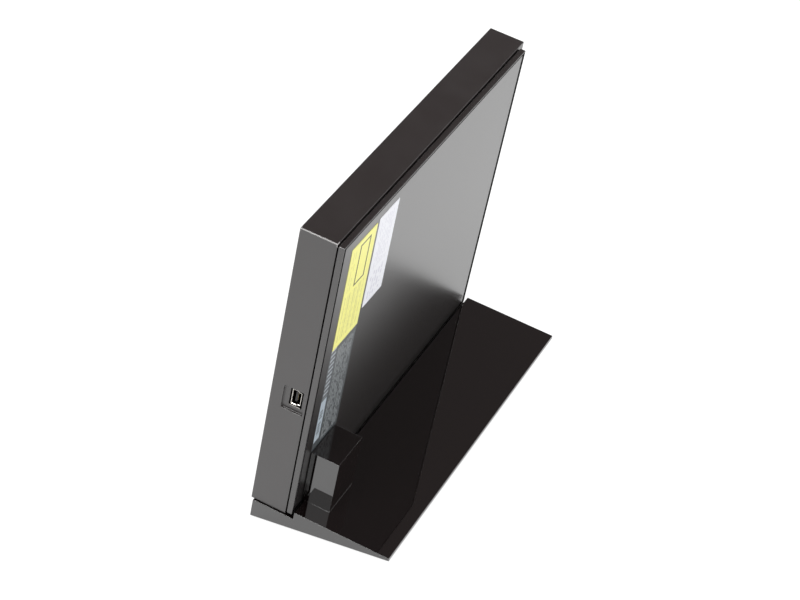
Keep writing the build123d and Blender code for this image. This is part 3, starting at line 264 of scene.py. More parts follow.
class Finish:
    """A material in the making: its shader, its point in millimetres, its colour so far."""

    def __init__(self, name, colour, roughness, place=CASE, metallic=0.0, **sockets):
        self.material = bpy.data.materials.new(name)
        self.material.use_nodes = True
        self.tree = self.material.node_tree
        self.shader = self.tree.nodes["Principled BSDF"]
        self.shader.inputs["Metallic"].default_value = metallic
        for socket, value in sockets.items():
            self.shader.inputs[socket.replace("_", " ")].default_value = value
        turn = place.to_quaternion().to_euler()
        self.point = add(self.tree, "ShaderNodeMapping", {
            "Vector": add(self.tree, "ShaderNodeTexCoord").outputs["Object"], "Location": place.translation,
            "Rotation": turn, "Scale": [MILLIMETRE] * 3}, vector_type="TEXTURE").outputs[0]
        self.colour = (*colour, 1.0)
        self.roughness = roughness
        self.height = None
        self.edge = None

    def use(self, name, **inputs):
        """Outputs of a shared effect at this finish's point."""
        made = add(self.tree, "ShaderNodeGroup", node_tree=GROUPS[name])
        self.tree.links.new(self.point, made.inputs["Point"])
        for socket, value in inputs.items():
            made.inputs[socket.capitalize()].default_value = value
        return made.outputs

    def mask(self, name, **inputs):
        """The mask that a shared effect puts out."""
        return self.use(name, **inputs)["Mask"]

    def both(self, first, second):
        """A mask of where two masks meet."""
        return sums(self.tree, "MULTIPLY", first, second)

    def above(self, height):
        """A mask of what lies further out through the drive's thickness than a height."""
        depth = add(self.tree, "ShaderNodeSeparateXYZ", {0: self.point}).outputs[2]
        return sums(self.tree, "GREATER_THAN", depth, height)

    def tint(self, mask, colour, share=1.0):
        """Lays a colour over the one so far, where the mask is."""
        share = self.both(mask, share) if share != 1.0 else mask
        self.colour = mixed(self.tree, share, self.colour, (*colour, 1.0))

    def roughen(self, mask, amount):
        """Adds to the roughness where the mask is."""
        self.roughness = sums(self.tree, "MULTIPLY_ADD", mask, amount, self.roughness, clamp=True)

    def slots(self, pitch, share):
        """A mask of plain bars across, one every pitch of x."""
        along = add(self.tree, "ShaderNodeSeparateXYZ", {0: self.point}).outputs[0]
        step = sums(self.tree, "FRACT", sums(self.tree, "DIVIDE", along, pitch))
        return sums(self.tree, "LESS_THAN", step, share)

    def raise_by(self, value, amount):
        """Adds to the relief, in millimetres."""
        before = 0.0 if self.height is None else self.height
        self.height = sums(self.tree, "MULTIPLY_ADD", value, amount, before)

    def soften_edges(self, radius):
        """Lets sharp edges catch the light as if rounded by a radius in metres."""
        self.edge = add(self.tree, "ShaderNodeBevel", {"Radius": radius}, samples=6).outputs[0]

    def done(self):
        """Joins everything to the shader."""
        for socket, value in (("Base Color", self.colour), ("Roughness", self.roughness)):
            if isinstance(value, bpy.types.NodeSocket):
                self.tree.links.new(value, self.shader.inputs[socket])
            else:
                self.shader.inputs[socket].default_value = value
        if self.height is not None:
            bump = add(self.tree, "ShaderNodeBump", {
                "Height": self.height, "Distance": MILLIMETRE, "Strength": 1.0})
            if self.edge is not None:
                self.tree.links.new(self.edge, bump.inputs["Normal"])
            self.tree.links.new(bump.outputs[0], self.shader.inputs["Normal"])
        return self.material


# Finishes; relief and printed boxes in millimetres, radii of edge masks and softened edges in metres

# Near black, painted as shade in gaps and channels.
PAINTED_GAP_SHADE = (0.002, 0.002, 0.002)


def stand_gloss():
    """Piano-black moulding: faint orange peel, smudges, dust and rubbed edges."""
    made = Finish("stand_gloss", (0.0042, 0.0026, 0.0026), 0.03, STAND, IOR=1.75,
                  Coat_Weight=0.8, Coat_Roughness=0.02)
    made.soften_edges(0.0003)
    marks = made.use("smudge", pitch=38.0)
    made.roughen(marks["Smudge"], 0.03)
    made.raise_by(made.use("grain", pitch=3.2)["Height"], 0.0008)
    made.tint(made.mask("wear", radius=0.0003, gain=2.0, breaks=0.5), (0.09, 0.085, 0.085), 0.6)
    made.tint(made.mask("dust", spacing=7.0, share=0.2, size=0.028), (0.42, 0.4, 0.38), 0.7)
    return made.done()


def shell_satin():
    """Satin black case plastic with a fine spark grain, and a painted highlight along its top rear edge."""
    made = Finish("shell_satin", (0.0125, 0.0085, 0.0082), 0.3, IOR=1.62, Specular_IOR_Level=0.9)
    made.soften_edges(0.0006)
    grain = made.use("grain", pitch=0.32)
    made.raise_by(grain["Height"], 0.008)
    made.roughen(grain["Mottle"], 0.06)
    made.tint(made.mask("wear", radius=0.00035, gain=2.5, breaks=0.46), (0.16, 0.15, 0.15), 0.7)
    # Painted highlight: a near-white tint on the rounded top rear edge stands in for the lamp's glint there;
    # the wear mask only shapes its line.
    highlight_zone = made.mask("box", left=-73.0, right=-71.0, front=173.9, rear=176.0)
    rubbed = made.mask("wear", radius=0.0006, gain=9.0, breaks=0.3)
    made.tint(made.both(highlight_zone, rubbed), (0.8, 0.78, 0.77), 0.95)
    made.tint(made.mask("dust", spacing=8.0, share=0.22, size=0.03), (0.3, 0.28, 0.26), 0.6)
    return made.done()


def panel_gloss():
    """Glossy black inlay of the big outer face, with handling marks."""
    made = Finish("panel_gloss", (0.012, 0.012, 0.013), 0.06, Coat_Weight=0.6, Coat_Roughness=0.03)
    marks = made.use("smudge", pitch=45.0)
    made.roughen(marks["Smudge"], 0.07)
    made.tint(marks["Scratch"], (0.06, 0.06, 0.065), 0.5)
    made.raise_by(made.use("grain", pitch=4.0)["Height"], 0.0025)
    made.tint(made.mask("wear", radius=0.0003, gain=2.0, breaks=0.5), (0.08, 0.08, 0.085), 0.6)
    made.tint(made.mask("dust", spacing=9.0, share=0.2, size=0.028), (0.36, 0.35, 0.34), 0.7)
    return made.done()


def frame_satin():
    """Black satin frame round the plate, with painted shade in the channel inside its lip."""
    made = Finish("frame_satin", (0.013, 0.0098, 0.0098), 0.24, IOR=1.65, Specular_IOR_Level=0.9)
    made.soften_edges(0.0004)
    grain = made.use("grain", pitch=0.3)
    made.raise_by(grain["Height"], 0.006)
    made.roughen(grain["Mottle"], 0.06)
    # Edge wear, made pale enough to serve also as a painted highlight along the lip's edge.
    made.tint(made.mask("wear", radius=0.0003, gain=2.5, breaks=0.48), (0.24, 0.23, 0.23), 0.8)
    lip_height = 0.12
    inside = made.mask("box", left=-71.3, right=71.3, front=4.8, rear=175.4)
    # Painted shade: the channel inside the lip is coloured near black and made rougher.
    shaded_groove = made.both(inside, made.above(lip_height))
    made.tint(shaded_groove, PAINTED_GAP_SHADE)
    made.roughen(shaded_groove, 0.75)
    made.tint(made.mask("dust", spacing=9.0, share=0.2, size=0.03), (0.26, 0.25, 0.24), 0.6)
    return made.done()


def plate_grain():
    """Painted satin plate with a grey printed block: plain rules, a row of dashes and a pale bar; its side
    walls get painted shade.
    """
    made = Finish("plate_grain", (0.0135, 0.012, 0.012), 0.31, IOR=1.57, Specular_IOR_Level=0.95,
                  Coat_Weight=0.35, Coat_Roughness=0.3)
    face_height = 0.24
    # The plate's side walls, below its face: rougher, and near black further down as painted shade.
    wall = made.above(face_height)
    made.roughen(wall, 0.6)
    made.raise_by(made.use("grain", pitch=0.45)["Height"], 0.004)
    block = made.mask("box", left=-14.5, right=42.5, front=144.6, rear=167.2)
    made.tint(block, (0.08, 0.09, 0.096))
    rules = made.mask("rules", pitch=1.5, weight=0.42, breaks=0.45)
    lower = made.mask("box", left=-10.0, right=40.5, front=146.0, rear=160.6)
    made.tint(made.both(rules, lower), (0.42, 0.45, 0.46), 0.9)
    column_gaps = ((151.0, 151.7, 0.85), (156.8, 157.3, 0.5))
    for front, rear, share in column_gaps:
        gap = made.mask("box", left=-10.0, right=40.5, front=front, rear=rear)
        made.tint(gap, (0.02, 0.022, 0.024), share)
    top_row = made.mask("box", left=-13.8, right=13.4, front=162.0, rear=166.4)
    dashes = made.slots(pitch=2.6, share=0.48)
    made.tint(made.both(dashes, top_row), (0.5, 0.54, 0.58), 0.85)
    bar = made.mask("box", left=14.4, right=37.5, front=162.0, rear=166.9)
    made.tint(bar, (0.5, 0.58, 0.64))
    marked_stretches = ((20.2, 25.4), (27.0, 34.2))
    for left, right in marked_stretches:
        field = made.mask("box", left=left, right=right, front=163.3, rear=165.9)
        marks = made.slots(pitch=1.7, share=0.55)
        made.tint(made.both(marks, field), (0.05, 0.06, 0.07), 0.85)
    made.tint(made.mask("dust", spacing=9.0, share=0.25, size=0.025), (0.4, 0.38, 0.36), 0.6)
    # Painted shade on the plate's side walls.
    made.tint(wall, PAINTED_GAP_SHADE)
    return made.done()


def paper_yellow():
    """Yellow sticker: film over paper, with an empty outlined box and plain rules."""
    made = Finish("paper_yellow", (0.93, 0.9, 0.26), 0.42)
    grain = made.use("grain", pitch=0.6)
    made.raise_by(grain["Height"], 0.004)
    made.tint(grain["Mottle"], (0.9, 0.87, 0.33), 0.4)
    outside = made.mask("box", left=-62.2, right=-41.4, front=149.1, rear=158.3)
    inside = made.mask("box", left=-61.3, right=-42.3, front=150.1, rear=157.3)
    line = sums(made.tree, "SUBTRACT", outside, inside, clamp=True)
    rules = made.mask("rules", pitch=1.9, weight=0.27, breaks=0.47)
    field = made.mask("box", left=-39.5, right=-16.0, front=147.5, rear=164.5)
    strip = made.mask("box", left=-62.0, right=-41.5, front=160.4, rear=164.5)
    ink = made.both(rules, sums(made.tree, "MAXIMUM", field, strip))
    bands = made.mask("rules", pitch=4.3, weight=0.45, breaks=0.3)
    made.tint(made.both(bands, field), (0.74, 0.72, 0.24), 0.6)
    made.tint(ink, (0.4, 0.39, 0.17), 0.4)
    made.tint(line, (0.08, 0.08, 0.04), 0.95)
    return made.done()


def paper_white():
    """White sticker with two fields of faint grey-violet rules."""
    made = Finish("paper_white", (0.85, 0.86, 0.9), 0.4)
    grain = made.use("grain", pitch=0.6)
    made.raise_by(grain["Height"], 0.004)
    made.tint(grain["Mottle"], (0.8, 0.8, 0.86), 0.5)
    rules = made.mask("rules", pitch=1.7, weight=0.3, breaks=0.46)
    field = made.mask("box", left=-63.0, right=-38.0, front=128.0, rear=141.0)
    broad_rules = made.mask("rules", pitch=2.4, weight=0.5, breaks=0.48)
    side = made.mask("box", left=-36.0, right=-22.5, front=128.6, rear=140.4)
    ink = sums(made.tree, "MAXIMUM", made.both(rules, field), made.both(broad_rules, side))
    made.tint(ink, (0.42, 0.4, 0.52), 0.42)
    return made.done()


def plain_metal(name, colour, roughness, place=CASE, pitch=0.12, depth=0.0015):
    """Bare metal with drawn streaks, small stains and bright edges."""
    made = Finish(name, colour, roughness, place, metallic=1.0)
    drawn = made.use("brushed", pitch=pitch)
    made.raise_by(drawn["Height"], depth)
    made.roughen(drawn["Streak"], 0.1)
    made.tint(drawn["Streak"], [0.86 * part for part in colour], 0.5)
    made.tint(made.use("smudge", pitch=14.0)["Smudge"], [0.75 * part for part in colour], 0.35)
    made.tint(made.mask("wear", radius=0.0002, gain=3.0, breaks=0.42), (0.85, 0.85, 0.84), 0.5)
    return made.done()


def screw_steel():
    """Zinc-plated screws."""
    return plain_metal("screw_steel", (0.55, 0.55, 0.53), 0.3)


def black_screw():
    """Black-oxide stand screws with rubbed recesses."""
    return plain_metal("black_screw", (0.05, 0.048, 0.046), 0.35, STAND)


def socket_steel():
    """Nickel-plated steel of the socket's shell, with painted shade inside it but for its mouth and the
    tab's tip.
    """
    made = Finish("socket_steel", (0.76, 0.73, 0.68), 0.24, metallic=1.0)
    drawn = made.use("brushed", pitch=0.12)
    made.raise_by(drawn["Height"], 0.0015)
    made.roughen(drawn["Streak"], 0.1)
    made.tint(made.mask("wear", radius=0.0002, gain=3.0, breaks=0.42), (0.85, 0.83, 0.8), 0.5)
    # Painted shade: the shell's inside, back from its mouth, is coloured near black.
    inside = made.mask("box", left=6.6, right=14.95, front=165.0, rear=174.3)
    made.tint(inside, (0.09, 0.08, 0.07), 0.95)
    return made.done()


def rail_steel():
    """Bright drawn steel of rails, rods and screw."""
    return plain_metal("rail_steel", (0.56, 0.56, 0.55), 0.2, pitch=0.08)


def zinc_sheet():
    """Galvanised pressed sheet with a soft spangle."""
    made = Finish("zinc_sheet", (0.6, 0.61, 0.62), 0.36, metallic=1.0)
    spangle = add(made.tree, "ShaderNodeTexVoronoi", {"Vector": made.point, "Scale": 0.16}).outputs["Color"]
    shade = add(made.tree, "ShaderNodeSeparateColor", {0: spangle}).outputs[0]
    made.tint(shade, (0.48, 0.49, 0.51), 0.45)
    made.roughen(shade, 0.12)
    drawn = made.use("brushed", pitch=0.2)
    made.raise_by(drawn["Height"], 0.002)
    made.tint(made.mask("wear", radius=0.0003, gain=3.0, breaks=0.45), (0.82, 0.82, 0.82), 0.5)
    made.tint(made.use("smudge", pitch=30.0)["Smudge"], (0.42, 0.42, 0.42), 0.3)
    return made.done()


def die_cast():
    """Cast metal with a sandy skin and machined bright edges."""
    made = Finish("die_cast", (0.5, 0.5, 0.51), 0.42, metallic=0.9)
    grain = made.use("grain", pitch=0.45)
    made.raise_by(grain["Height"], 0.012)
    made.tint(grain["Mottle"], (0.4, 0.4, 0.41), 0.6)
    made.tint(made.mask("wear", radius=0.0003, gain=3.0, breaks=0.42), (0.8, 0.8, 0.8), 0.6)
    return made.done()


def turned_hub():
    """Machined hub: fine turned rings about the spindle, and a sunk ring with painted shade in it."""
    made = Finish("turned_hub", (0.56, 0.56, 0.57), 0.26, SPINDLE, metallic=1.0)
    ring_pitch, groove_radius, groove_half_width, centre_radius = 0.3, 3.1, 0.28, 1.05
    flat = add(made.tree, "ShaderNodeVectorMath", {0: made.point, 1: (1.0, 1.0, 0.0)},
               operation="MULTIPLY").outputs[0]
    radius = add(made.tree, "ShaderNodeVectorMath", {0: flat}, operation="LENGTH").outputs["Value"]
    rings = sums(made.tree, "SINE", sums(made.tree, "MULTIPLY", radius, 2 * pi / ring_pitch))
    made.raise_by(rings, 0.004)
    off_groove = sums(made.tree, "ABSOLUTE", sums(made.tree, "SUBTRACT", radius, groove_radius))
    # Painted shade: the sunk ring is coloured dark as well as lowered.
    shaded_groove = sums(made.tree, "LESS_THAN", off_groove, groove_half_width)
    made.tint(shaded_groove, (0.12, 0.12, 0.12))
    made.raise_by(shaded_groove, -0.15)
    centre = sums(made.tree, "LESS_THAN", radius, centre_radius)
    made.tint(centre, (0.3, 0.3, 0.3))
    made.raise_by(centre, 0.12)
    made.tint(made.use("smudge", pitch=9.0)["Smudge"], (0.4, 0.4, 0.4), 0.3)
    made.tint(made.mask("wear", radius=0.0002, gain=3.0, breaks=0.42), (0.86, 0.86, 0.85), 0.6)
    return made.done()


def fine_plastic(name, colour, roughness, place=CASE, pitch=0.3, depth=0.006, worn=0.12):
    """Moulded plastic with fine grain, light wear and dust."""
    made = Finish(name, colour, roughness, place)
    grain = made.use("grain", pitch=pitch)
    made.raise_by(grain["Height"], depth)
    made.roughen(grain["Mottle"], 0.08)
    pale = [part + worn * (1.0 - part) for part in colour]
    made.tint(made.mask("wear", radius=0.0003, gain=2.5, breaks=0.48), pale, 0.7)
    made.tint(made.mask("dust", spacing=6.0, share=0.25, size=0.03), (0.4, 0.38, 0.36), 0.5)
    return made.done()


def deck_black():
    """Grained black of the tray and the stand's cover."""
    return fine_plastic("deck_black", (0.025, 0.025, 0.026), 0.5, pitch=0.4, depth=0.014)


def black_resin():
    """Smooth black engineering resin."""
    return fine_plastic("black_resin", (0.02, 0.02, 0.02), 0.32, pitch=0.25, depth=0.004)


def bezel_black():
    """Fine satin black of the tray's front and its button."""
    return fine_plastic("bezel_black", (0.02, 0.019, 0.02), 0.28, pitch=0.28, depth=0.006)


def acetal_white():
    """Milky acetal of levers, guides and claws."""
    return fine_plastic("acetal_white", (0.75, 0.75, 0.72), 0.38, pitch=0.35, depth=0.004, worn=0.5)


def rubber_black():
    """Matt black rubber with a fine cast texture."""
    made = Finish("rubber_black", (0.03, 0.03, 0.03), 0.78, STAND)
    grain = made.use("grain", pitch=0.35)
    made.raise_by(grain["Height"], 0.03)
    made.tint(grain["Mottle"], (0.045, 0.044, 0.043), 0.7)
    made.tint(made.mask("dust", spacing=3.0, share=0.4, size=0.05), (0.25, 0.24, 0.22), 0.6)
    return made.done()


def contact_gold():
    """Gold-flashed contacts."""
    return plain_metal("contact_gold", (0.83, 0.62, 0.25), 0.22, pitch=0.06, depth=0.0008)


def coil_copper():
    """Enamelled copper winding."""
    made = Finish("coil_copper", (0.55, 0.27, 0.12), 0.3, metallic=1.0)
    turns = add(made.tree, "ShaderNodeTexWave", {"Vector": made.point, "Scale": 1.6},
                bands_direction="X").outputs["Fac"]
    made.raise_by(turns, 0.08)
    made.tint(turns, (0.36, 0.15, 0.06), 0.5)
    return made.done()


def board_green():
    """Solder mask over copper tracks, with pads."""
    made = Finish("board_green", (0.02, 0.12, 0.06), 0.3, Coat_Weight=0.4)
    tracks = add(made.tree, "ShaderNodeTexBrick", {
        "Vector": made.point, "Color1": (0, 0, 0, 1), "Color2": (1, 1, 1, 1), "Mortar": (0.5, 0.5, 0.5, 1),
        "Scale": 0.5, "Mortar Size": 0.03, "Brick Width": 3.0, "Row Height": 0.5}).outputs["Fac"]
    made.raise_by(tracks, 0.03)
    made.tint(tracks, (0.04, 0.2, 0.1))
    pads = made.mask("dust", spacing=2.4, share=0.55, size=0.16)
    made.tint(pads, (0.62, 0.6, 0.52))
    made.tint(made.use("grain", pitch=0.5)["Mottle"], (0.015, 0.09, 0.045), 0.4)
    return made.done()


def chip_black():
    """Moulded chip packages, fine and matt."""
    return fine_plastic("chip_black", (0.03, 0.03, 0.032), 0.55, pitch=0.2, depth=0.006)


def cable_film():
    """Amber polyimide film over copper lines."""
    made = Finish("cable_film", (0.62, 0.4, 0.16), 0.22, Coat_Weight=0.3)
    lines = add(made.tree, "ShaderNodeTexWave", {"Vector": made.point, "Scale": 0.32},
                bands_direction="X").outputs["Fac"]
    copper = ranged(made.tree, lines, 0.45, 0.55, 0.0, 1.0)
    made.tint(copper, (0.5, 0.25, 0.08), 0.8)
    made.raise_by(copper, 0.02)
    made.tint(made.use("smudge", pitch=12.0)["Smudge"], (0.5, 0.33, 0.14), 0.3)
    return made.done()


def light_lens():
    """Clear diffusing lens of the status light."""
    made = Finish("light_lens", (0.85, 0.95, 0.9), 0.3, Transmission_Weight=0.6, IOR=1.49)
    made.raise_by(made.use("grain", pitch=0.2)["Height"], 0.01)
    return made.done()


def lens_glass():
    """Coated objective lens."""
    made = Finish("lens_glass", (0.62, 0.66, 0.95), 0.02, Transmission_Weight=0.75, IOR=1.6, Coat_Weight=1.0)
    made.roughen(made.use("smudge", pitch=3.0)["Smudge"], 0.03)
    return made.done()


FINISHES = {maker.__name__: maker() for maker in (
    stand_gloss, shell_satin, panel_gloss, frame_satin, plate_grain, paper_yellow, paper_white,
    screw_steel, black_screw, socket_steel, rail_steel, zinc_sheet, die_cast, turned_hub, deck_black,
    black_resin, bezel_black, acetal_white, rubber_black, contact_gold, coil_copper, board_green,
    chip_black, cable_film, light_lens, lens_glass)}

WORN_BY = {
    "stand_gloss": ("stand_body",),
    "deck_black": ("stand_cover", "tray_deck"),
    "rubber_black": ("stand_feet", "ledge_pads", "traverse_grommets", "turntable_ring"),
    "black_screw": ("stand_screws",),
    "shell_satin": ("case_shell",),
    "panel_gloss": ("top_panel",),
    "frame_satin": ("bottom_frame",),
    "plate_grain": ("bottom_plate",),
    "paper_yellow": ("label_yellow",),
    "paper_white": ("label_white",),
    "screw_steel": ("case_screws", "unit_screws", "board_screws", "cover_screws", "catch_pin",
                    "traverse_screws"),
    "socket_steel": ("usb_shell",),
    "black_resin": ("usb_tongue", "bridge_plug", "unit_socket", "lens_holder"),
    "contact_gold": ("usb_contacts",),
    "board_green": ("bridge_board", "main_board"),
    "chip_black": ("bridge_chips", "eject_switch", "main_board_chips"),
    "zinc_sheet": ("unit_chassis", "unit_cover", "tray_cover", "sled_motor", "sled_shield", "spindle_motor"),
    "acetal_white": ("rail_guide_left", "rail_guide_right", "cable_socket", "ejector", "latch_lever",
                     "hub_claw_1", "hub_claw_2", "hub_claw_3"),
    "rail_steel": ("slide_rail_left", "slide_rail_right", "ejector_spring", "guide_rods", "lead_screw",
                   "solenoid_plunger"),
    "cable_film": ("flex_cable",),
    "bezel_black": ("tray_bezel", "eject_button"),
    "light_lens": ("status_light",),
    "die_cast": ("traverse_plate", "pickup_sled"),
    "turned_hub": ("spindle_hub",),
    "lens_glass": ("objective_lens",),
    "coil_copper": ("solenoid_coil",),
}

for slot, members in WORN_BY.items():
    for member in members:
        skin = nodes[member].data.materials
        skin.clear()
        skin.append(FINISHES[slot])


# Pieces that replace CAD nodes


def finished(name, work, slot, body, replaced):
    """Turns a bmesh into a piece that rides on a body and stands for a CAD node."""
    mesh = bpy.data.meshes.new(name)
    work.to_mesh(mesh)
    work.free()
    mesh.materials.append(FINISHES[slot])
    piece = placed(name, mesh)
    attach(piece, body)
    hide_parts(replaced)


def rounded(corners, radius, steps=3):
    """A closed outline with each corner turned into an arc."""
    outline = []
    for number, corner in enumerate(corners):
        corner = Vector(corner)
        before = (Vector(corners[number - 1]) - corner).normalized()
        after = (Vector(corners[(number + 1) % len(corners)]) - corner).normalized()
        half = before.angle(after) / 2
        middle = corner + (before + after).normalized() * radius / sin(half)
        start = corner + before * radius / (sin(half) / cos(half)) - middle
        end = corner + after * radius / (sin(half) / cos(half)) - middle
        for step in range(steps + 1):
            arm = start.lerp(end, step / steps).normalized() * radius
            outline.append(middle + arm)
    return outline


def skinned(work, rings):
    """A closed skin over rings of points, with its first and last ring filled."""
    loops = [[work.verts.new(point) for point in ring] for ring in rings]
    for lower, upper in zip(loops, loops[1:]):
        for number in range(len(lower)):
            following = (number + 1) % len(lower)
            work.faces.new((lower[number], lower[following], upper[following], upper[number]))
    work.faces.new(loops[0][::-1])
    work.faces.new(loops[-1])


def socket_middle():
    """How far the socket's middle lies below the drive's own, in millimetres."""
    drive, socket = reach("case_shell", ACROSS), reach("usb_shell", ACROSS)
    return (sum(socket) - sum(drive)) / 2 / MILLIMETRE


def socket_ring(inset, y):
    """The socket's section at a place along the drive, grown or shrunk by an inset."""
    middle, middle_out = socket_middle(), 8.15
    half_top, half_low, half_height = 3.9 - inset, 3.3 - inset, 2.05 - inset
    shoulder, waist = -0.2, -half_height * 0.55
    corners = [(-half_top, half_height), (-half_top, shoulder),
               (-half_low, waist), (-half_low, -half_height),
               (half_low, -half_height), (half_low, waist), (half_top, shoulder), (half_top, half_height)]
    corner_radius = 0.252 - inset * 0.36
    outline = rounded(corners, corner_radius)
    return [(middle + x, y, middle_out + z) for x, z in outline]


def socket_shell():
    """The socket's pressed shell: rolled mouth, two latch springs and a grounding tab."""
    work = bmesh.new()
    back, mouth, wall = 165.9, 174.5, 0.3
    rolled_mouth = [(0.0, mouth - 0.6), (-0.1, mouth - 0.2), (-0.06, mouth), (0.12, mouth),
                    (wall, mouth - 0.3)]
    profile = [(0.0, back), *rolled_mouth, (wall, back + wall)]
    skinned(work, [socket_ring(inset, y) for inset, y in profile])
    middle = socket_middle()
    spring_path = [(170.2, 10.23), (171.4, 10.34), (172.6, 10.3), (173.4, 10.22)]
    over, under = 0.05, -0.14
    near, far = 1.2, 2.7
    for x0, x1 in ((middle - far, middle - near), (middle + near, middle + far)):
        skinned(work, [[(x0, y, z + over), (x1, y, z + over), (x1, y, z + under), (x0, y, z + under)]
                       for y, z in spring_path])
    bend = [(3.75, 169.6), (4.1, 169.5), (4.4, 169.9), (4.55, 170.8), (4.62, 173.4), (4.62, 174.55)]
    tab_low, tab_high, tab_half_thickness = 5.8, 10.5, 0.1
    strip = []
    for number, (x, y) in enumerate(bend):
        x += middle
        ahead = Vector(bend[min(number + 1, len(bend) - 1)]) - Vector(bend[max(number - 1, 0)])
        side = Vector((-ahead.y, ahead.x)).normalized() * tab_half_thickness
        strip.append([(x + side.x, y + side.y, tab_low), (x + side.x, y + side.y, tab_high),
                      (x - side.x, y - side.y, tab_high), (x - side.x, y - side.y, tab_low)])
    skinned(work, strip)
    bmesh.ops.recalc_face_normals(work, faces=work.faces)
    work.transform(CASE)
    finished("socket_shell", work, "socket_steel", "drive_case", "usb_shell")


# A screw head's barrel and domed steps as shares of its height, and each step's share of its radius
HEAD_BARREL = 0.5
HEAD_STEPS = ((0.22, 0.93), (0.16, 0.84), (0.08, 0.7))
HEAD_RISE = sum(rise for rise, size in HEAD_STEPS)


def screw_tree():
    """Geometry Nodes: cross-recess pan-head screws, one on each point."""
    tree = bpy.data.node_groups.new("Cross-head screws", "GeometryNodeTree")
    for label, kind, value in (
            ("Points", "NodeSocketGeometry", None), ("Head radius", "NodeSocketFloat", 0.0018),
            ("Head height", "NodeSocketFloat", 0.0008), ("Shank radius", "NodeSocketFloat", 0.0008),
            ("Shank length", "NodeSocketFloat", 0.002), ("Direction", "NodeSocketVector", (0, 0, 1)),
            ("Seed", "NodeSocketInt", 3), ("Finish", "NodeSocketMaterial", None)):
        made = tree.interface.new_socket(name=label, in_out="INPUT", socket_type=kind)
        if value is not None:
            made.default_value = value
    tree.interface.new_socket(name="Screws", in_out="OUTPUT", socket_type="NodeSocketGeometry")
    given = tree.nodes.new("NodeGroupInput").outputs
    head = add(tree, "GeometryNodeMeshCylinder", {
        "Vertices": 28, "Radius": given["Head radius"],
        "Depth": sums(tree, "MULTIPLY", given["Head height"], HEAD_BARREL)})
    shape, top = head.outputs["Mesh"], head.outputs["Top"]
    for rise, size in HEAD_STEPS:
        grown = add(tree, "GeometryNodeExtrudeMesh", {
            "Mesh": shape, "Selection": top,
            "Offset Scale": sums(tree, "MULTIPLY", given["Head height"], rise)})
        shape, top = grown.outputs["Mesh"], grown.outputs["Top"]
        shape = add(tree, "GeometryNodeScaleElements", {
            "Geometry": shape, "Selection": top, "Scale": size}).outputs[0]
    recess_length, recess_width, recess_height, recess_lift = 1.16, 0.24, 0.9, 0.75
    long_side = sums(tree, "MULTIPLY", given["Head radius"], recess_length)
    short_side = sums(tree, "MULTIPLY", given["Head radius"], recess_width)
    depth = sums(tree, "MULTIPLY", given["Head height"], recess_height)
    lift = sums(tree, "MULTIPLY", given["Head height"], recess_lift)
    lifted = add(tree, "ShaderNodeCombineXYZ", {2: lift}).outputs[0]
    arms = []
    for sides in ((long_side, short_side, depth), (short_side, long_side, depth)):
        size = add(tree, "ShaderNodeCombineXYZ", dict(enumerate(sides))).outputs[0]
        arm = add(tree, "GeometryNodeMeshCube", {"Size": size}).outputs[0]
        arms.append(add(tree, "GeometryNodeTransform", {"Geometry": arm, "Translation": lifted}).outputs[0])
    cut = add(tree, "GeometryNodeMeshBoolean", {"Mesh 1": shape}, operation="DIFFERENCE")
    for arm in arms:
        tree.links.new(arm, cut.inputs["Mesh 2"])
    shank = add(tree, "GeometryNodeMeshCylinder", {
        "Vertices": 16, "Radius": given["Shank radius"], "Depth": given["Shank length"]}).outputs["Mesh"]
    half_down = sums(tree, "MULTIPLY", given["Shank length"], -0.5)
    lowered = add(tree, "ShaderNodeCombineXYZ", {2: half_down}).outputs[0]
    shank = add(tree, "GeometryNodeTransform", {"Geometry": shank, "Translation": lowered}).outputs[0]
    joined = add(tree, "GeometryNodeJoinGeometry")
    tree.links.new(cut.outputs[0], joined.inputs[0])
    tree.links.new(shank, joined.inputs[0])
    facing = add(tree, "FunctionNodeAlignRotationToVector", {"Vector": given["Direction"]},
                 axis="Z").outputs[0]
    spin = add(tree, "FunctionNodeRandomValue", {"Seed": given["Seed"]}, data_type="FLOAT")
    turn = add(tree, "FunctionNodeAxisAngleToRotation", {
        "Axis": given["Direction"], "Angle": sums(tree, "MULTIPLY", spin.outputs[1], pi)}).outputs[0]
    facing = add(tree, "FunctionNodeRotateRotation", {"Rotation": facing, "Rotate By": turn}).outputs[0]
    spread = add(tree, "GeometryNodeInstanceOnPoints", {
        "Points": given["Points"], "Instance": joined.outputs[0], "Rotation": facing}).outputs[0]
    whole = add(tree, "GeometryNodeRealizeInstances", {"Geometry": spread}).outputs[0]
    dressed = add(tree, "GeometryNodeSetMaterial", {
        "Geometry": whole, "Material": given["Finish"]}).outputs[0]
    tree.links.new(dressed, tree.nodes.new("NodeGroupOutput").inputs[0])
    return tree


def grown_mesh(points, tree, inputs):
    """The plain mesh that a Geometry Nodes tree grows on points."""
    seed_mesh = bpy.data.meshes.new("points")
    seed_mesh.from_pydata(points, [], [])
    carrier = placed("points", seed_mesh)
    modifier = carrier.modifiers.new("grow", "NODES")
    modifier.node_group = tree
    sockets = {item.name: item.identifier for item in tree.interface.items_tree
               if item.item_type == "SOCKET"}
    for label, value in inputs.items():
        modifier[sockets[label]] = value
    evaluated = carrier.evaluated_get(bpy.context.evaluated_depsgraph_get())
    mesh = bpy.data.meshes.new_from_object(evaluated)
    bpy.data.objects.remove(carrier)
    return mesh


def solids_of(node):
    """The points of each separate solid of a CAD node, in the order of its mesh."""
    weld, solids = 1e-6, []
    work = bmesh.new()
    work.from_mesh(nodes[node].data)
    bmesh.ops.remove_doubles(work, verts=work.verts, dist=weld)
    left = set(work.verts)
    for first in work.verts:
        if first not in left:
            continue
        left.remove(first)
        found, waiting = [], [first]
        while waiting:
            vertex = waiting.pop()
            found.append(vertex.co.copy())
            for edge in vertex.link_edges:
                other = edge.other_vert(vertex)
                if other in left:
                    left.remove(other)
                    waiting.append(other)
        solids.append(found)
    work.free()
    return solids


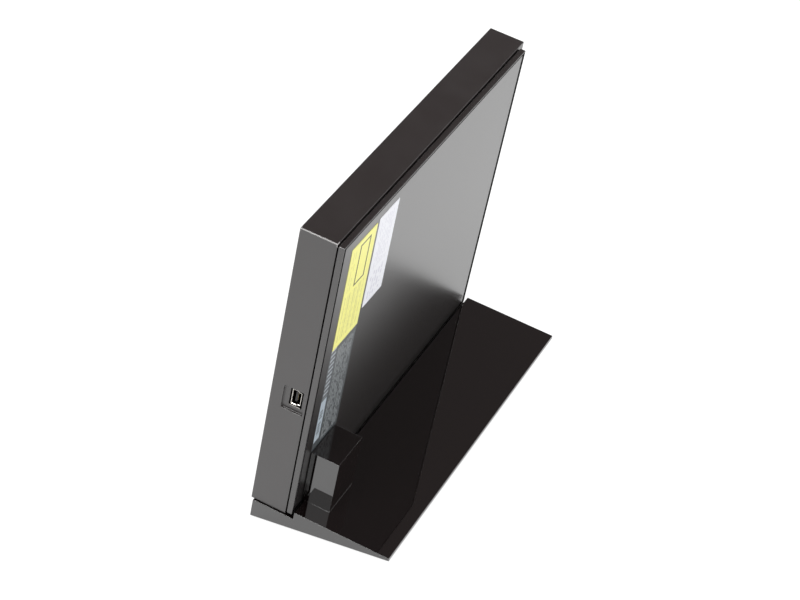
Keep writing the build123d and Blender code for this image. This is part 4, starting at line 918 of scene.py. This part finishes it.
def screw_facts(points, axis):
    """A plain screw's measures in metres: which way its head looks, its place, head and shank."""
    side = axis.orthogonal().normalized()
    upright = axis.cross(side)
    middle = side * (sum(extent(points, side)) / 2) + upright * (sum(extent(points, upright)) / 2)
    arms = [((point - middle - axis * point.dot(axis)).length, point.dot(axis)) for point in points]
    low, high = extent(points, axis)
    radius = max(arms)[0]
    rim_share, tip_zone = 0.85, 0.0001
    wide = [along for arm, along in arms if arm > rim_share * radius]
    if low + high > min(wide) + max(wide):
        axis, arms, wide = -axis, [(arm, -along) for arm, along in arms], [-along for along in wide]
        low, high = -high, -low
    height = (high - min(wide)) / (HEAD_BARREL + HEAD_RISE)
    top = (HEAD_BARREL / 2 + HEAD_RISE) * height
    shank = max(arm for arm, along in arms if along < low + tip_zone)
    return axis, middle + axis * (high - top), radius, height, shank, high - low - top


def screws_for(node, axis, tree, slot, seed):
    """Cross-recess screws in the places and sizes of a node's plain ones."""
    body = next(name for name, empty in frame["bodies"].items() if nodes[node].parent == empty)
    ways = {}
    for points in solids_of(node):
        fact = screw_facts(points, axis)
        ways.setdefault(tuple(round(part, 3) for part in fact[0]), []).append(fact)
    work = bmesh.new()
    for group in ways.values():
        facing, _, head, height, shank, length = group[0]
        work.from_mesh(grown_mesh([fact[1] for fact in group], tree, {
            "Head radius": head, "Head height": height, "Shank radius": shank, "Shank length": length,
            "Direction": tuple(facing), "Seed": seed, "Finish": FINISHES[slot]}))
    finished(node + "_cross", work, slot, body, node)


socket_shell()
screws = screw_tree()
UPWARD = Vector((0, 0, 1))
for seed, (node, axis, slot) in enumerate((
        ("stand_screws", UPWARD, "black_screw"), ("case_screws", OUTWARD, "screw_steel"),
        ("unit_screws", OUTWARD, "screw_steel"), ("board_screws", OUTWARD, "screw_steel"),
        ("cover_screws", ACROSS, "screw_steel"), ("traverse_screws", OUTWARD, "screw_steel")), start=3):
    screws_for(node, axis, screws, slot, seed)


# Studio


def seen_or_mirrored(tree):
    """1 for rays of the camera and of mirrored or refracted views, 0 for those that carry light."""
    rays = add(tree, "ShaderNodeLightPath").outputs
    return sums(tree, "MAXIMUM", rays["Is Camera Ray"], sums(
        tree, "MAXIMUM", rays["Is Glossy Ray"], rays["Is Transmission Ray"]))


def floor():
    """Pale studio floor: white to the eye, dimmer to the light, so the shadow stays soft."""
    mesh = bpy.data.meshes.new("studio_floor")
    half = 4.0
    corners = [(-half, -half, 0), (half, -half, 0), (half, half, 0), (-half, half, 0)]
    mesh.from_pydata(corners, [], [(0, 1, 2, 3)])
    material = bpy.data.materials.new("floor_paint")
    material.use_nodes = True
    tree = material.node_tree
    tree.nodes.clear()
    paint = add(tree, "ShaderNodeBsdfDiffuse", {"Color": (0.3, 0.3, 0.3, 1)}).outputs[0]
    glow = add(tree, "ShaderNodeEmission", {
        "Color": (0.82, 0.82, 0.82, 1), "Strength": seen_or_mirrored(tree)}).outputs[0]
    both = add(tree, "ShaderNodeAddShader", {0: paint, 1: glow}).outputs[0]
    tree.links.new(both, tree.nodes.new("ShaderNodeOutputMaterial").inputs[0])
    mesh.materials.append(material)
    placed("studio_floor", mesh)


def sky():
    """White low down and dimmer overhead where it is seen or mirrored, plain grey as light."""
    world = bpy.data.worlds.new("studio")
    bpy.context.scene.world = world
    world.use_nodes = True
    tree = world.node_tree
    tree.nodes.clear()
    way = add(tree, "ShaderNodeTexCoord").outputs["Generated"]
    height = add(tree, "ShaderNodeSeparateXYZ", {0: way}).outputs[2]
    ramp = add(tree, "ShaderNodeValToRGB", {0: height})
    stops = ((0.2, (1, 1, 1, 1)), (0.48, (0.122, 0.106, 0.104, 1)))
    for element, (position, colour) in zip(ramp.color_ramp.elements, stops):
        element.position = position
        element.color = colour
    shown = mixed(tree, seen_or_mirrored(tree), (0.6, 0.6, 0.6, 1), ramp.outputs[0])
    back = add(tree, "ShaderNodeBackground", {"Color": shown, "Strength": 1.0}).outputs[0]
    tree.links.new(back, tree.nodes.new("ShaderNodeOutputWorld").inputs[0])


def lamp(name, way, distance, size, watts):
    """A soft square lamp that looks at the object from one way."""
    data = bpy.data.lights.new(name, "AREA")
    data.shape = "SQUARE"
    data.size = size
    data.energy = watts
    made = placed(name, data)
    way = Vector(way).normalized()
    middle_of_object = Vector((0, 0, 0.07))
    made.location = middle_of_object + way * distance
    made.rotation_euler = way.to_track_quat("Z", "Y").to_euler()


def camera():
    """The photograph's viewpoint, found from the drive's corners; angles in radians, place in metres."""
    pitch, yaw, roll = 0.61823, 0.44783, 0.01037
    place = (-0.33258, 0.70496, 0.61999)
    ahead = Vector((sin(yaw) * cos(pitch), -cos(yaw) * cos(pitch), -sin(pitch)))
    right = Vector((-cos(yaw), -sin(yaw), 0))
    up = right.cross(ahead)
    leaned_right = right * cos(roll) + up * sin(roll)
    leaned_up = up * cos(roll) - right * sin(roll)
    data = bpy.data.cameras.new("viewpoint")
    data.sensor_width = 36.0
    data.lens = 100.81
    made = placed("viewpoint", data)
    facing = Matrix((leaned_right, leaned_up, -ahead)).transposed().to_4x4()
    made.matrix_world = Matrix.Translation(place) @ facing
    bpy.context.scene.camera = made


floor()
sky()
lamp("key_lamp", (0.08, 0.36, 0.92), 1.7, 0.5, 9.5)
lamp("fill_lamp", (0.12, 0.73, 0.67), 1.8, 0.9, 5.0)
lamp("side_lamp", (-0.9, 0.1, 0.34), 1.8, 0.8, 20.5)
lamp("far_lamp", (0.75, -0.5, 0.55), 1.8, 0.8, 7.0)
camera()
bpy.context.scene.view_settings.view_transform = "Standard"
